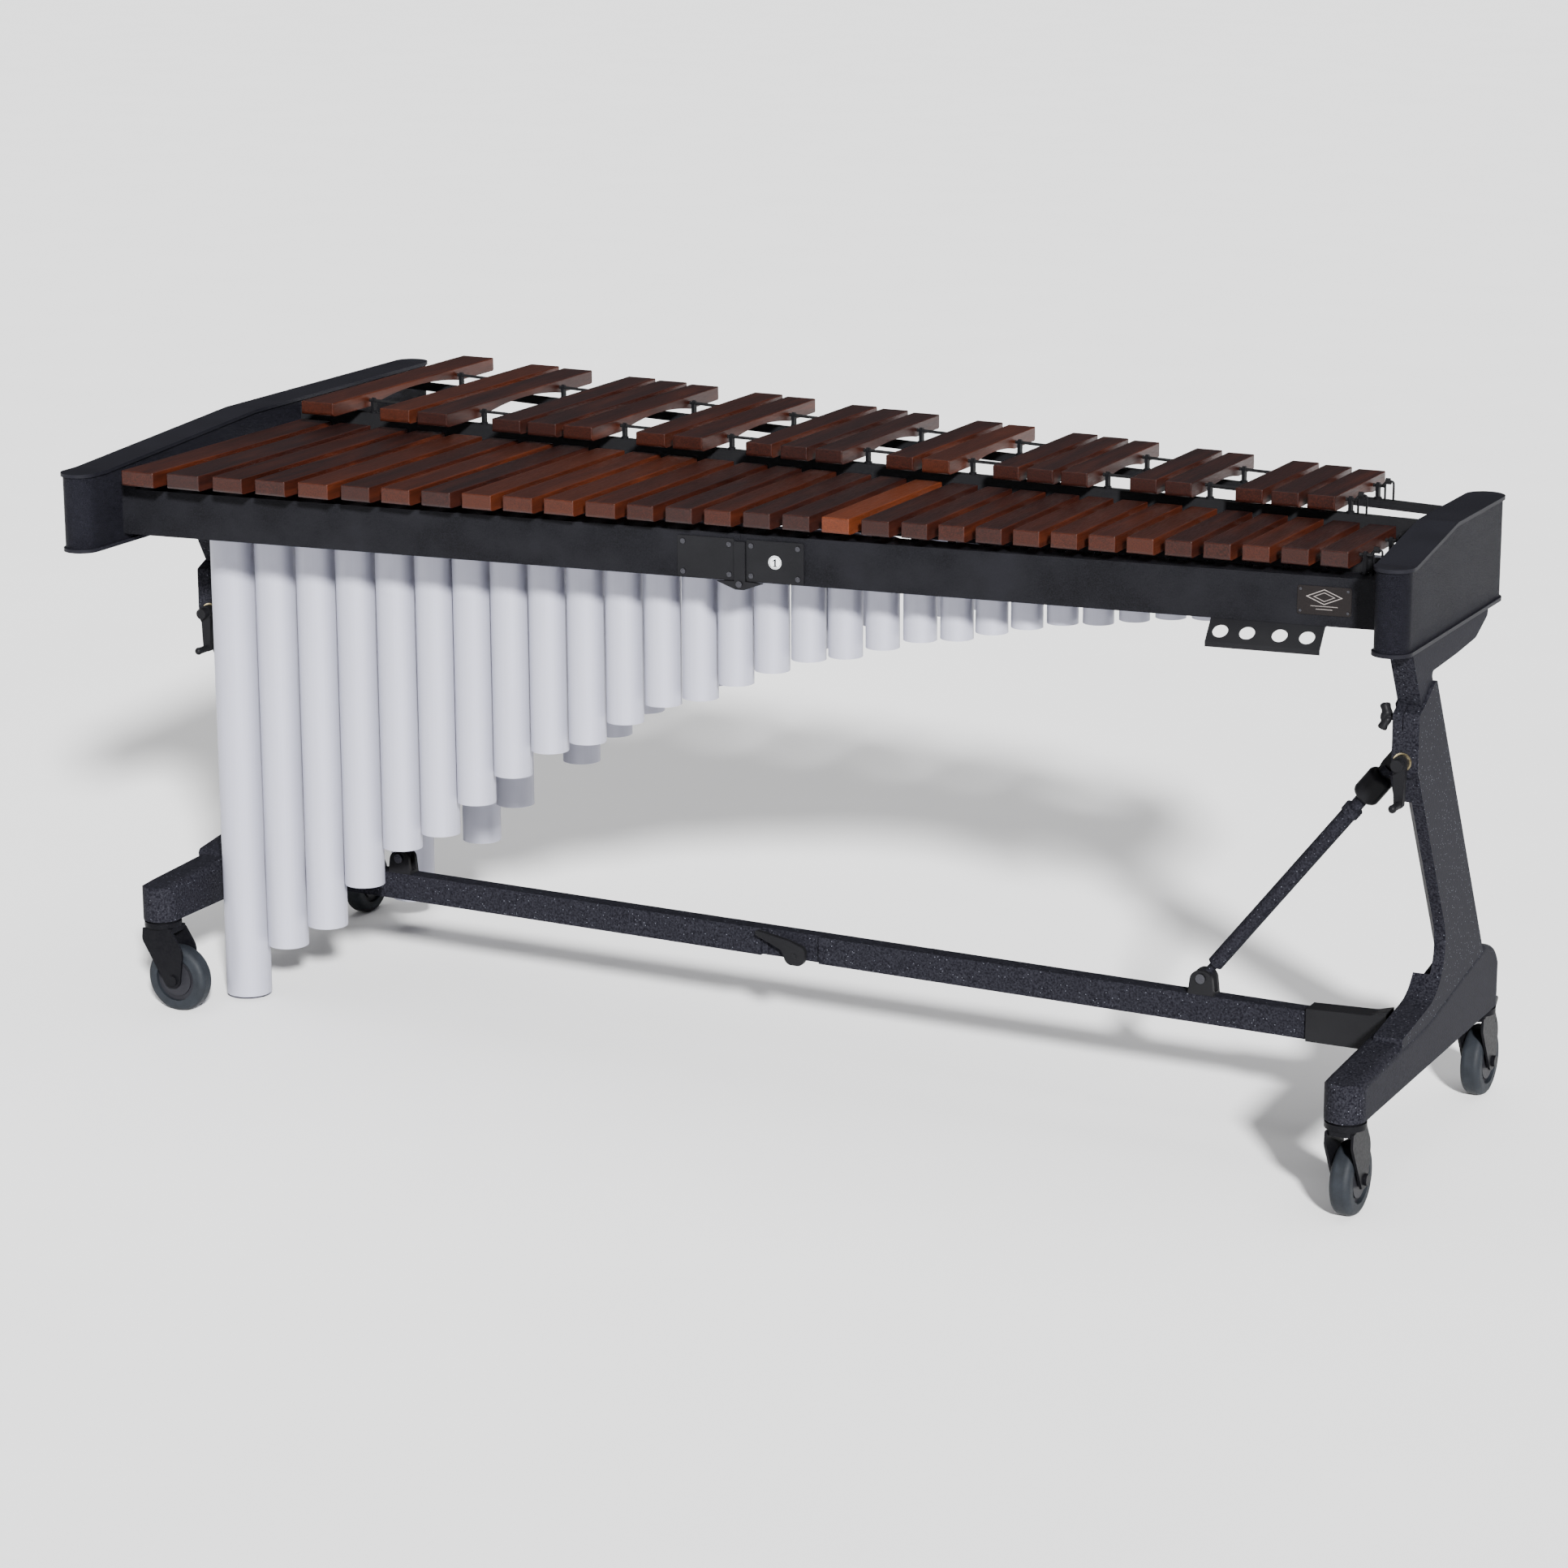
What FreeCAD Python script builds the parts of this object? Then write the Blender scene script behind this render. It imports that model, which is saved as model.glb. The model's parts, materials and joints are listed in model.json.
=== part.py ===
import FreeCAD, Part
import math
import os
import re
import Sketcher

# A four-and-a-third-octave marimba (A2 to C7) on a height-adjustable rolling frame.
# +X runs to the treble end, +Y away from the player, +Z up, floor at z = 0.
# Plan coordinates are first laid out from the low bar's front edge, then shifted so the
# outline is centred on the frame's origin.

doc = FreeCAD.newDocument("marimba")
V = FreeCAD.Vector

SIZES = {
    # layout
    "plan_shift": -436.5,
    "bars_left": -893.5,
    # natural bars, five width classes
    "natural_top": 847.5,
    "natural_width_one": 54,
    "natural_width_two": 49.5,
    "natural_width_three": 46.7,
    "natural_width_four": 41,
    "natural_width_five": 38.3,
    "natural_gap_one": 17.7,
    "natural_gap_two": 16.8,
    "natural_gap_three": 14.4,
    "natural_gap_four": 15,
    "natural_gap_five": 13.2,
    "natural_front_slope": 0.1227,
    "natural_back_line": 475.3,
    "natural_back_slope": 0.0407,
    "natural_thickness": 22.4,
    # accidental bars
    "accidental_top": 885.8,
    "accidental_width_one": 56,
    "accidental_width_two": 51.3,
    "accidental_width_three": 47.6,
    "accidental_width_four": 42,
    "accidental_width_five": 39.2,
    "accidental_front_line": 423.5,
    "accidental_front_slope": 0.029,
    "accidental_back_line": 908.8,
    "accidental_back_slope": 0.1972,
    "accidental_thickness": 20.5,
    # bar details
    "node_share": 0.224,
    "bar_edge_round": 1.6,
    "cord_radius": 2.2,
    "cord_hole_radius": 2.8,
    "cord_depth": 11,
    # rails
    "rail_end": 928.4,
    "fascia_line": 55.4,
    "fascia_slope": 0.098,
    "fascia_thickness": 19,
    "front_rail_height": 66,
    "front_rail_top": 810,
    "rail_flange": 14,
    "inner_rail_width": 16,
    "inner_rail_height": 30,
    "back_rail_height": 11,
    "accidental_rail_top": 856,
    "rail_split": 27,
    # posts
    "post_thickness": 4.6,
    "post_width": 9,
    # end panels
    "panel_thickness": 48.5,
    "panel_middle": 952.65,
    "panel_bottom": 730,
    "panel_lip": 3,
    "panel_cap": 5,
    # resonators
    "tube_top": 791,
    "tube_wall": 1.6,
    "tube_radius_first": 34,
    "tube_radius_low": 31,
    "tube_radius_step": 0.42,
    "tube_radius_least": 21,
    "tube_plug_inset": 20,
    "tube_plug_thickness": 3,
    "speed_of_sound": 345000,
    "pitch_of_low_bar": 110,
    "tube_zero": 771,
    "strip_thickness": 3,
    "strip_height": 20,
    "strip_top": 785,
    # lower frame
    "leg_middle": 949,
    "leg_thickness": 56,
    "leg_lean": 29.33,
    "foot_bottom": 140,
    "foot_front": 22,
    "foot_back": 620,
    "slide_middle": 956,
    "slide_thickness": 32,
    "slide_width": 50,
    "slide_clearance": 0.06,
    "low_leg_offset": 86,
    "post_inner": 936,
    "post_outer": 976,
    "stretcher_top": 195.5,
    "stretcher_height": 40,
    "stretcher_width": 26,
    "stretcher_wall": 2.5,
    "stretcher_joint": -32,
    "latch_pocket_end": 62,
    "latch_pocket_depth": 6,
    "strut_radius": 11,
    "strut_knob_radius": 19,
    # casters
    "wheel_radius": 50,
    "wheel_hub_radius": 33,
    "tyre_width": 29,
    "axle_radius": 5,
    "swivel_trail": 27,
    "fork_gap": 33,
    "fork_plate": 3.5,
    "stem_radius": 6,
}

sheet = doc.addObject("Spreadsheet::Sheet", "Sizes")
for row, (name, value) in enumerate(SIZES.items(), start=1):
    sheet.set("A%d" % row, name)
    sheet.set("B%d" % row, str(value))
    sheet.setAlias("B%d" % row, name)
doc.recompute()


def size(name):
    """The number held by one cell of the sheet."""
    return float(sheet.get(name))


def bound(words):
    """Turn a formula in the sheet's own words into an expression."""
    return re.sub(r"[a-z]+(?:_[a-z]+)+", lambda word: "Sizes." + word.group(0), words)


def set_sizes(piece, dims):
    for prop, value in dims.items():
        if isinstance(value, str):
            piece.setExpression(prop, bound(value))
        else:
            setattr(piece, prop, value)


def place(piece, at=(0, 0, 0), turn=None):
    """Put a piece at a plan position, with an optional rotation."""
    x, y, z = at
    spot = V(x, y + size("plan_shift"), z)
    piece.Placement = FreeCAD.Placement(spot, turn or FreeCAD.Rotation())
    return piece


def solid(kind, name, at=(0, 0, 0), turn=None, **dims):
    piece = doc.addObject("Part::" + kind, name)
    set_sizes(piece, dims)
    return place(piece, at, turn)


def cut(name, base, *tools):
    piece = base
    for number, tool in enumerate(tools):
        step = doc.addObject("Part::Cut", "%s_cut%d" % (name, number))
        step.Base = piece
        step.Tool = tool
        piece = step
    return piece


def common(name, base, tool):
    piece = doc.addObject("Part::Common", name + "_common")
    piece.Base = base
    piece.Tool = tool
    return piece


def fuse(name, *shapes):
    piece = doc.addObject("Part::MultiFuse", name + "_fuse")
    piece.Shapes = list(shapes)
    return piece


def group(name, pieces):
    """Separate solids kept together in one node."""
    piece = doc.addObject("Part::Compound", name)
    piece.Links = list(pieces)
    return piece


def rounded_loop(points):
    """Lines and arcs through points (u, v, radius) of a closed outline."""
    corners = []
    count = len(points)
    for number in range(count):
        u, v, radius = (list(points[number]) + [0])[:3]
        here = V(u, v, 0)
        if not radius:
            corners.append((here, None, here))
            continue
        before = V(*points[number - 1][:2], 0) - here
        after = V(*points[(number + 1) % count][:2], 0) - here
        half = before.getAngle(after) / 2
        reach = radius / math.tan(half)
        start = here + V(before).normalize() * reach
        end = here + V(after).normalize() * reach
        middle_way = (V(before).normalize() + V(after).normalize()).normalize()
        mid = here + middle_way * (radius / math.sin(half) - radius)
        corners.append((start, mid, end))
    shapes = []
    for number, (start, mid, end) in enumerate(corners):
        last = corners[number - 1][2]
        if last.distanceToPoint(start) > 1e-6:
            shapes.append(Part.LineSegment(last, start))
        if mid is not None:
            shapes.append(Part.Arc(start, mid, end))
    return shapes


def padded(name, plane, outlines, length, at=(0, 0, 0), turn=None):
    """A body made by padding one sketch evenly to both sides of an origin plane."""
    body = doc.addObject("PartDesign::Body", name)
    sketch = body.newObject("Sketcher::SketchObject", name + "_outline")
    planes = [item for item in body.Origin.OriginFeatures if item.Name.startswith(plane + "_Plane")]
    sketch.AttachmentSupport = [(planes[0], "")]
    sketch.MapMode = "FlatFace"
    for outline in outlines:
        sketch.addGeometry(rounded_loop(outline), False)
    pad = body.newObject("PartDesign::Pad", name + "_pad")
    pad.Profile = sketch
    pad.Midplane = True
    if isinstance(length, str):
        pad.setExpression("Length", bound(length))
    else:
        pad.Length = length
    body.Tip = pad
    return place(body, at, turn)


def turned(x=0, y=0, z=0):
    return FreeCAD.Rotation(z, y, x)


NODES = []


def node(piece, label):
    piece.Label = label
    NODES.append(piece)
    return piece


# ---------------------------------------------------------------- bar layout

NUMBER_WORDS = ["one", "two", "three", "four", "five"]
CLASS_COUNTS = [2, 3, 7, 7, 12]


def natural_classes():
    return [number for number, count in enumerate(CLASS_COUNTS) for _ in range(count)]


def natural_spans():
    """Left edge and width of every natural bar, low to high."""
    spans = []
    left = size("bars_left")
    for number in natural_classes():
        width = size("natural_width_" + NUMBER_WORDS[number])
        spans.append((left, width))
        left += width + size("natural_gap_" + NUMBER_WORDS[number])
    return spans


def natural_letter(index):
    return "ABCDEFG"[index % 7]


CLASSES = natural_classes()
SPANS = natural_spans()
CENTRES = [left + width / 2 for left, width in SPANS]
# A raised bar stands over every gap except B to C and E to F.
RAISED = [index for index in range(30) if natural_letter(index) not in "BE"]


def raised_centre(index):
    left, width = SPANS[index]
    return (left + width + SPANS[index + 1][0]) / 2


def run(x):
    return x - size("bars_left")


class Row:
    """One row of bars: the lines its ends follow and the height of its top."""

    def __init__(self, front, front_slope, back, back_slope, top):
        self.front_line = (front, front_slope)
        self.back_line = (back, back_slope)
        self.top = top

    def front(self, x):
        return self.front_line[0] + self.front_line[1] * run(x)

    def back(self, x):
        return self.back_line[0] + self.back_line[1] * run(x)

    def middle(self, x):
        return (self.front(x) + self.back(x)) / 2

    def node_line(self, x, rear):
        share = size("node_share")
        if rear:
            share = 1 - share
        return self.front(x) * (1 - share) + self.back(x) * share

    def cord_height(self):
        return self.top - size("cord_depth")


NATURAL = Row(0, size("natural_front_slope"), size("natural_back_line"),
              -size("natural_back_slope"), size("natural_top"))
ACCIDENTAL = Row(size("accidental_front_line"), -size("accidental_front_slope"),
                 size("accidental_back_line"), -size("accidental_back_slope"),
                 size("accidental_top"))


def line_cylinder(name, row, rear, x_from, x_to, radius):
    """A cylinder along one of a row's cord lines."""
    y_from = row.node_line(x_from, rear)
    y_to = row.node_line(x_to, rear)
    along = V(x_to - x_from, y_to - y_from, 0)
    turn = FreeCAD.Rotation(V(0, 0, 1), along)
    return solid("Cylinder", name, (x_from, y_from, row.cord_height()), turn,
                 Radius=radius, Height=along.Length)


def bar(name, row, x, width_words, thickness_words, share_up):
    """One tuned bar: rounded top edges, an arched underside and two cord holes."""
    front = row.front(x)
    length = row.back(x) - front
    width = size(width_words)
    thickness = size(thickness_words)
    block = solid("Box", name + "_block", (x - width / 2, front, row.top - thickness),
                  Length=width_words, Width=length, Height=thickness_words)
    doc.recompute([block])
    edges = []
    for number, edge in enumerate(block.Shape.Edges, start=1):
        low = edge.BoundBox.ZMax < row.top - 1
        along_width = edge.BoundBox.XLength > 1
        if not low or along_width:
            radius = 5 if low else size("bar_edge_round")
            edges.append((number, radius, radius))
    shaped = doc.addObject("Part::Fillet", name + "_round")
    shaped.Base = block
    shaped.Edges = edges
    chord = length * (0.56 - 0.1 * share_up)
    depth = thickness * (0.58 - 0.36 * share_up)
    radius = (chord * chord / 4 + depth * depth) / (2 * depth)
    arch = solid("Cylinder", name + "_arch",
                 (x - width, front + length / 2, row.top - thickness + depth - radius),
                 turned(y=90), Radius=radius, Height=2 * width)
    holes = []
    for rear in (False, True):
        holes.append(line_cylinder("%s_hole%d" % (name, rear), row, rear, x - width, x + width,
                                   "cord_hole_radius"))
    return cut(name, shaped, arch, *holes)


def naturals(label, first, last):
    bars = []
    for index in range(first, last + 1):
        words = "natural_width_" + NUMBER_WORDS[CLASSES[index]]
        bars.append(bar("natural%d" % index, NATURAL, CENTRES[index], words,
                        "natural_thickness", index / 30))
    node(group(label, bars), label)


def accidentals(label, members):
    bars = []
    for index in members:
        words = "accidental_width_" + NUMBER_WORDS[CLASSES[index]]
        bars.append(bar("accidental%d" % index, ACCIDENTAL, raised_centre(index), words,
                        "accidental_thickness", index / 30))
    node(group(label, bars), label)


naturals("natural_bars_low", 0, 8)
naturals("natural_bars_middle", 9, 19)
naturals("natural_bars_high", 20, 30)
accidentals("accidental_bars_low", RAISED[:6])
accidentals("accidental_bars_middle", RAISED[6:13])
accidentals("accidental_bars_high", RAISED[13:])


# ---------------------------------------------------------------- posts and cords

def post_places_natural():
    places = [SPANS[0][0] - 8]
    for index in range(30):
        places.append(raised_centre(index))
    places.append(SPANS[30][0] + SPANS[30][1] + 8)
    return places


def accidental_edges(index):
    width = size("accidental_width_" + NUMBER_WORDS[CLASSES[index]])
    x = raised_centre(index)
    return x - width / 2, x + width / 2


def post_places_accidental():
    places = []
    for index in RAISED:
        left, right = accidental_edges(index)
        if index - 1 in RAISED:
            places.append((accidental_edges(index - 1)[1] + left) / 2)
        else:
            places.append(left - 7)
        if index + 1 not in RAISED:
            places.append(right + 7)
    return places


def post(name, row, x, rear, rail_top):
    """A flat plastic post with a rounded head that the cord runs through."""
    y = row.node_line(x, rear)
    height = row.cord_height() - rail_top
    half = size("post_width") / 2
    blade = solid("Box", name + "_blade",
                  (x - size("post_thickness") / 2, y - half, rail_top),
                  Length="post_thickness", Width="post_width", Height=height)
    head = solid("Cylinder", name + "_head",
                 (x - size("post_thickness") / 2, y, row.cord_height()), turned(y=90),
                 Radius="post_width / 2", Height="post_thickness")
    foot = solid("Cylinder", name + "_foot", (x, y, rail_top), Radius=5.5, Height=3)
    hole = line_cylinder(name + "_hole", row, rear, x - 8, x + 8, "cord_radius + 0.05")
    return cut(name, fuse(name, blade, head, foot), hole)


def posts():
    made = []
    natural_rail = size("front_rail_top")
    accidental_rail = size("accidental_rail_top")
    for rear in (False, True):
        for number, x in enumerate(post_places_natural()):
            made.append(post("npost%d_%d" % (rear, number), NATURAL, x, rear, natural_rail))
        for number, x in enumerate(post_places_accidental()):
            made.append(post("apost%d_%d" % (rear, number), ACCIDENTAL, x, rear, accidental_rail))
    node(group("bar_posts", made), "bar_posts")


def cord(name, row, left, right):
    """A suspension cord: out along one cord line, around the low end and back along the other."""
    bend = 14
    z = row.cord_height()

    def on_line(x, rear):
        return V(x, row.node_line(x, rear), z)

    front_corner = on_line(left, False)
    rear_corner = on_line(left, True)
    front_way = (on_line(right, False) - front_corner).normalize()
    rear_way = (on_line(right, True) - rear_corner).normalize()
    across = (rear_corner - front_corner).normalize()
    start = on_line(right, False)
    end = on_line(right, True)

    def corner(point, way_a, way_b):
        a = point + way_a * bend
        b = point + way_b * bend
        half = way_a.getAngle(way_b) / 2
        radius = bend * math.tan(half)
        middle_way = (way_a + way_b).normalize()
        mid = point + middle_way * (radius / math.sin(half) - radius)
        return a, mid, b

    front_arc = corner(front_corner, front_way, across)
    rear_arc = corner(rear_corner, across * -1, rear_way)
    spine = Part.Wire([
        Part.LineSegment(start, front_arc[0]).toShape(),
        Part.Arc(*front_arc).toShape(),
        Part.LineSegment(front_arc[2], rear_arc[0]).toShape(),
        Part.Arc(*rear_arc).toShape(),
        Part.LineSegment(rear_arc[2], end).toShape(),
    ])
    section = Part.Wire([Part.Circle(start, front_way, size("cord_radius")).toShape()])
    piece = doc.addObject("Part::Feature", name)
    piece.Shape = spine.makePipeShell([section], True, False)
    return place(piece)


posts()
last_natural = SPANS[30][0] + SPANS[30][1]
last_accidental = accidental_edges(RAISED[-1])[1]
first_accidental = accidental_edges(RAISED[0])[0]
node(group("bar_cords", [
    cord("natural_cord", NATURAL, SPANS[0][0] - 27, last_natural + 18),
    cord("accidental_cord", ACCIDENTAL, first_accidental - 26, last_accidental + 17),
]), "bar_cords")


# ---------------------------------------------------------------- rails

def rail_box(name, row, rear, x_from, x_to, width, top, height):
    """A straight rail along a cord line, cut square to the end panels at both ends."""
    y_from = row.node_line(x_from, rear)
    y_to = row.node_line(x_to, rear)
    half = width / 2 / math.cos(math.atan2(y_to - y_from, x_to - x_from))
    outline = [(x_from, y_from - half), (x_to, y_to - half), (x_to, y_to + half), (x_from, y_from + half)]
    return padded(name, "XY", [outline], height, (0, 0, top - size(height) / 2))


def fascia_y(x):
    """The front rail's face, a straight line in plan a little ahead of the cord line."""
    return size("fascia_line") + size("fascia_slope") * run(x)


def front_rail(name, x_from, x_to):
    """A board with a flange behind it that carries the front row of posts."""
    thickness = size("fascia_thickness")
    top = size("front_rail_top")
    board_plan = [(x_from, fascia_y(x_from)), (x_to, fascia_y(x_to)),
                  (x_to, fascia_y(x_to) + thickness), (x_from, fascia_y(x_from) + thickness)]
    board = padded(name + "_board", "XY", [board_plan], "front_rail_height",
                   (0, 0, top - size("front_rail_height") / 2))
    behind = 9
    flange_plan = [(x_from, fascia_y(x_from) + 1), (x_to, fascia_y(x_to) + 1),
                   (x_to, NATURAL.node_line(x_to, False) + behind),
                   (x_from, NATURAL.node_line(x_from, False) + behind)]
    flange = padded(name + "_flange", "XY", [flange_plan], "rail_flange",
                    (0, 0, top - size("rail_flange") / 2))
    return fuse(name, board, flange)


def rails():
    split = size("rail_split")
    end = size("rail_end")
    halves = {"low": (-end, split - 0.2), "high": (split + 0.2, end)}
    for side, (x_from, x_to) in halves.items():
        node(front_rail("front_" + side, x_from, x_to), "front_rail_" + side)
        inner = [
            rail_box("natural_inner_" + side, NATURAL, True, x_from, x_to,
                     size("inner_rail_width"), size("front_rail_top"), "inner_rail_height"),
            rail_box("accidental_inner_" + side, ACCIDENTAL, False, x_from, x_to,
                     size("inner_rail_width"), size("accidental_rail_top"), "inner_rail_height"),
            rail_box("accidental_back_" + side, ACCIDENTAL, True, x_from, x_to,
                     size("inner_rail_width"), size("accidental_rail_top"), "back_rail_height"),
        ]
        node(group("inner_rails_" + side, inner), "inner_rails_" + side)


FACE_ANGLE = math.atan(size("fascia_slope"))


def face_block(name, outline, x, z, thickness, out=0.0):
    """A flat piece lying against the front rail's face; its outline is drawn about x, z."""
    reach = out + thickness / 2
    spot = (x + reach * math.sin(FACE_ANGLE), fascia_y(x) - reach * math.cos(FACE_ANGLE), z)
    return padded(name, "XZ", [outline], thickness, spot, turned(z=math.degrees(FACE_ANGLE)))


def plate_outline(length, height, radius):
    half = length / 2
    rise = height / 2
    return [(-half, -rise, radius), (half, -rise, radius), (half, rise, radius), (-half, rise, radius)]


def face_disc(name, x, z, radius, height, out=0.0):
    """A round head standing out of the front rail's face."""
    spot = (x + out * math.sin(FACE_ANGLE), fascia_y(x) - out * math.cos(FACE_ANGLE), z)
    turn = FreeCAD.Rotation(V(0, 0, 1), V(math.sin(FACE_ANGLE), -math.cos(FACE_ANGLE), 0))
    return solid("Cylinder", name, spot, turn, Radius=radius, Height=height)


NAME_PLATE = (839, 778)


def rail_fittings():
    split = size("rail_split")
    level = 774
    channel = [(-8, 26), (-8, -29.4), (-34, -30.5), (-6, -41, 3),
               (6, -41, 3), (34, -30.5), (8, -29.4), (8, 26)]
    plates = [
        face_block("joint_plate_low", plate_outline(84, 58, 3), split - 50.5, level, 2.5),
        face_block("joint_plate_high", plate_outline(84, 58, 3), split + 50.5, level, 2.5),
        face_block("joint_channel", channel, split, level, 6),
    ]
    node(group("rail_joint_plates", plates), "rail_joint_plates")
    screws = []
    for side in (-1, 1):
        for dx in (16, 84):
            for dz in (-21, 21):
                screws.append(face_disc("joint_screw", split + side * dx, level + dz, 3.6, 1.8, 2.5))
    screws.append(face_disc("joint_pivot_bolt", split, level - 33, 4.5, 3, 6))
    x, z = NAME_PLATE
    for dx in (-31.5, 31.5):
        for dz in (-14.5, 14.5):
            screws.append(face_disc("name_screw", x + dx, z + dz, 1.8, 1.0, 1.5))
    node(group("rail_screws", screws), "rail_screws")
    node(face_block("name_plate", plate_outline(72, 38, 3), x, z, 1.5), "name_plate")
    blocks = []
    for sign, length in ((-1, 22), (1, 14)):
        x = sign * (size("rail_end") - length / 2 - 0.5)
        corner = (x - length / 2, fascia_y(x) - 1.5, size("front_rail_top"))
        blocks.append(solid("Box", "rail_end_block", corner, Length=length, Width=26, Height=10))
    node(group("rail_end_blocks", blocks), "rail_end_blocks")


def mallet_rack():
    """A sloping four-hole plate screwed under the front rail, with a turned-down front lip."""
    length = 154
    middle = 764
    outline = [(18, 0), (1, 0), (-27, -26), (-27, -33), (-25, -33), (-25, -27.2), (1.8, -2), (18, -2)]
    plate = padded("rack_plate", "YZ", [outline], length, (0, -size("plan_shift"), 0))
    slope = math.atan2(26, 28)
    holes = []
    for dx in (-60, -23.7, 20, 56.7):
        start = V(dx, -13, -14) - V(0, -math.sin(slope), math.cos(slope)) * 12
        holes.append(solid("Cylinder", "rack_hole", (start.x, start.y - size("plan_shift"), start.z),
                           turned(x=math.degrees(slope)), Radius=10.5, Height=24))
    holed = cut("rack", plate, *holes)
    under = size("front_rail_top") - size("front_rail_height")
    node(place(holed, (middle, fascia_y(middle), under), turned(z=math.degrees(FACE_ANGLE))),
         "mallet_rack")


rails()
rail_fittings()
mallet_rack()


# ---------------------------------------------------------------- resonators

def pitch(step):
    return size("pitch_of_low_bar") * 2 ** (step / 12)


NATURAL_STEPS = {"A": 0, "B": 2, "C": 3, "D": 5, "E": 7, "F": 8, "G": 10}


def natural_step(index):
    return NATURAL_STEPS[natural_letter(index)] + 12 * (index // 7)


def tube_radius(index):
    if index == 0:
        return size("tube_radius_first")
    return max(size("tube_radius_least"), size("tube_radius_low") - size("tube_radius_step") * index)


def tube(name, x, y, index, step):
    """A tube a quarter of a wavelength long, stopped near its lower end."""
    radius = tube_radius(index)
    quarter = size("speed_of_sound") / (4 * pitch(step)) - 0.61 * radius
    bottom = size("tube_zero") - quarter
    outer = solid("Cylinder", name + "_outer", (x, y, bottom), Radius=radius,
                  Height="tube_top - %.3f" % bottom)
    inner = solid("Cylinder", name + "_inner", (x, y, bottom - 1), Height=1000)
    inner.setExpression("Radius", bound("%.3f - tube_wall" % radius))
    plug = solid("Cylinder", name + "_plug", (x, y, 0), Height="tube_plug_thickness")
    plug.setExpression("Radius", bound("%.3f - tube_wall" % radius))
    inset = min(size("tube_plug_inset"), 0.3 * (size("tube_top") - bottom))
    place(plug, (x, y, bottom + inset))
    return [cut(name, outer, inner), plug]


def strips(name, row, x_from, x_to):
    made = []
    for side in (-1, 1):
        clear = size("strip_thickness") / 2 + 2
        ends = []
        for x, index in ((x_from, 0), (x_to, 24)):
            ends.append((x, row.middle(x) + side * (tube_radius(index) + clear)))
        half = size("strip_thickness") / 2
        outline = [(ends[0][0], ends[0][1] - half), (ends[1][0], ends[1][1] - half),
                   (ends[1][0], ends[1][1] + half), (ends[0][0], ends[0][1] + half)]
        made.append(padded("%s_strip%d" % (name, side), "XY", [outline], "strip_height",
                           (0, 0, size("strip_top") - size("strip_height") / 2)))
    return made


def resonators():
    natural_tubes = []
    for index, x in enumerate(CENTRES):
        natural_tubes += tube("ntube%d" % index, x, NATURAL.middle(x), index, natural_step(index))
    node(group("natural_resonators", natural_tubes), "natural_resonators")
    accidental_tubes = []
    for index in RAISED:
        x = raised_centre(index)
        accidental_tubes += tube("atube%d" % index, x, ACCIDENTAL.middle(x), index,
                                 natural_step(index) + 1)
    node(group("accidental_resonators", accidental_tubes), "accidental_resonators")
    end = size("rail_end")
    node(group("resonator_strips", strips("natural", NATURAL, -end, end)
               + strips("accidental", ACCIDENTAL, -end, end)), "resonator_strips")


resonators()


# ---------------------------------------------------------------- end panels

def stadium(middle, half_width, front, back):
    """Plan outline of a block with fully rounded ends."""
    radius = half_width - 0.01
    return [(middle - half_width, front, radius), (middle + half_width, front, radius),
            (middle + half_width, back, radius), (middle - half_width, back, radius)]


def top_line(front, ramp_start, ramp_end, back, z_front, z_back, drop):
    return [(front, z_front - drop), (ramp_start, z_front - drop),
            (ramp_end, z_back - drop), (back, z_back - drop)]


def end_panel(side, sign, front, ramp_start, ramp_end, back, z_front, z_back):
    middle = sign * size("panel_middle")
    half = size("panel_thickness") / 2
    bottom = size("panel_bottom")
    cap = size("panel_cap")
    lip = size("panel_lip")
    plan = padded(side + "_panel_plan", "XY", [stadium(middle, half, front, back)], 400, (0, 0, 800))
    shell = [(back, bottom + cap), (front, bottom + cap)]
    shell += top_line(front, ramp_start, ramp_end, back, z_front, z_back, cap)
    profile = padded(side + "_panel_side", "YZ", [shell], "panel_thickness + 4", (middle, 0, 0))
    node(common(side + "_panel", profile, plan), "end_panel_" + side)

    wide_plan = padded(side + "_cap_plan", "XY",
                       [stadium(middle, half + lip, front - lip, back + lip)], 400, (0, 0, 800))
    upper = top_line(front - 5, ramp_start, ramp_end, back + 5, z_front, z_back, 0)
    lower = top_line(front - 5, ramp_start, ramp_end, back + 5, z_front, z_back, cap)
    cap_side = padded(side + "_cap_side", "YZ", [upper + lower[::-1]],
                      "panel_thickness + 2 * panel_lip + 4", (middle, 0, 0))
    node(common(side + "_top_cap", cap_side, wide_plan), "panel_top_cap_" + side)
    base = padded("panel_bottom_cap_" + side, "XY",
                  [stadium(middle, half + lip, front - lip, back + lip)], "panel_cap",
                  (0, 0, bottom + cap / 2))
    node(base, "panel_bottom_cap_" + side)


end_panel("low", -1, -39, 15, 400, 912, 844, 871)
end_panel("high", 1, 143, 173.5, 337.8, 557, 845.6, 873.6)


# ---------------------------------------------------------------- legs

LEAN = math.radians(size("leg_lean"))
SLIDE_ORIGIN = (235, 700)


def leaning(n, t):
    """Side-view point n behind and t along the leaning leg's centre line."""
    y = SLIDE_ORIGIN[0] + n * math.cos(LEAN) - t * math.sin(LEAN)
    z = SLIDE_ORIGIN[1] + n * math.sin(LEAN) + t * math.cos(LEAN)
    return y, z


def at_height(n, z):
    """Where the line a distance n behind the leg's centre line reaches height z."""
    t = (z - SLIDE_ORIGIN[1] - n * math.sin(LEAN)) / math.cos(LEAN)
    return leaning(n, t)[0]


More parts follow.
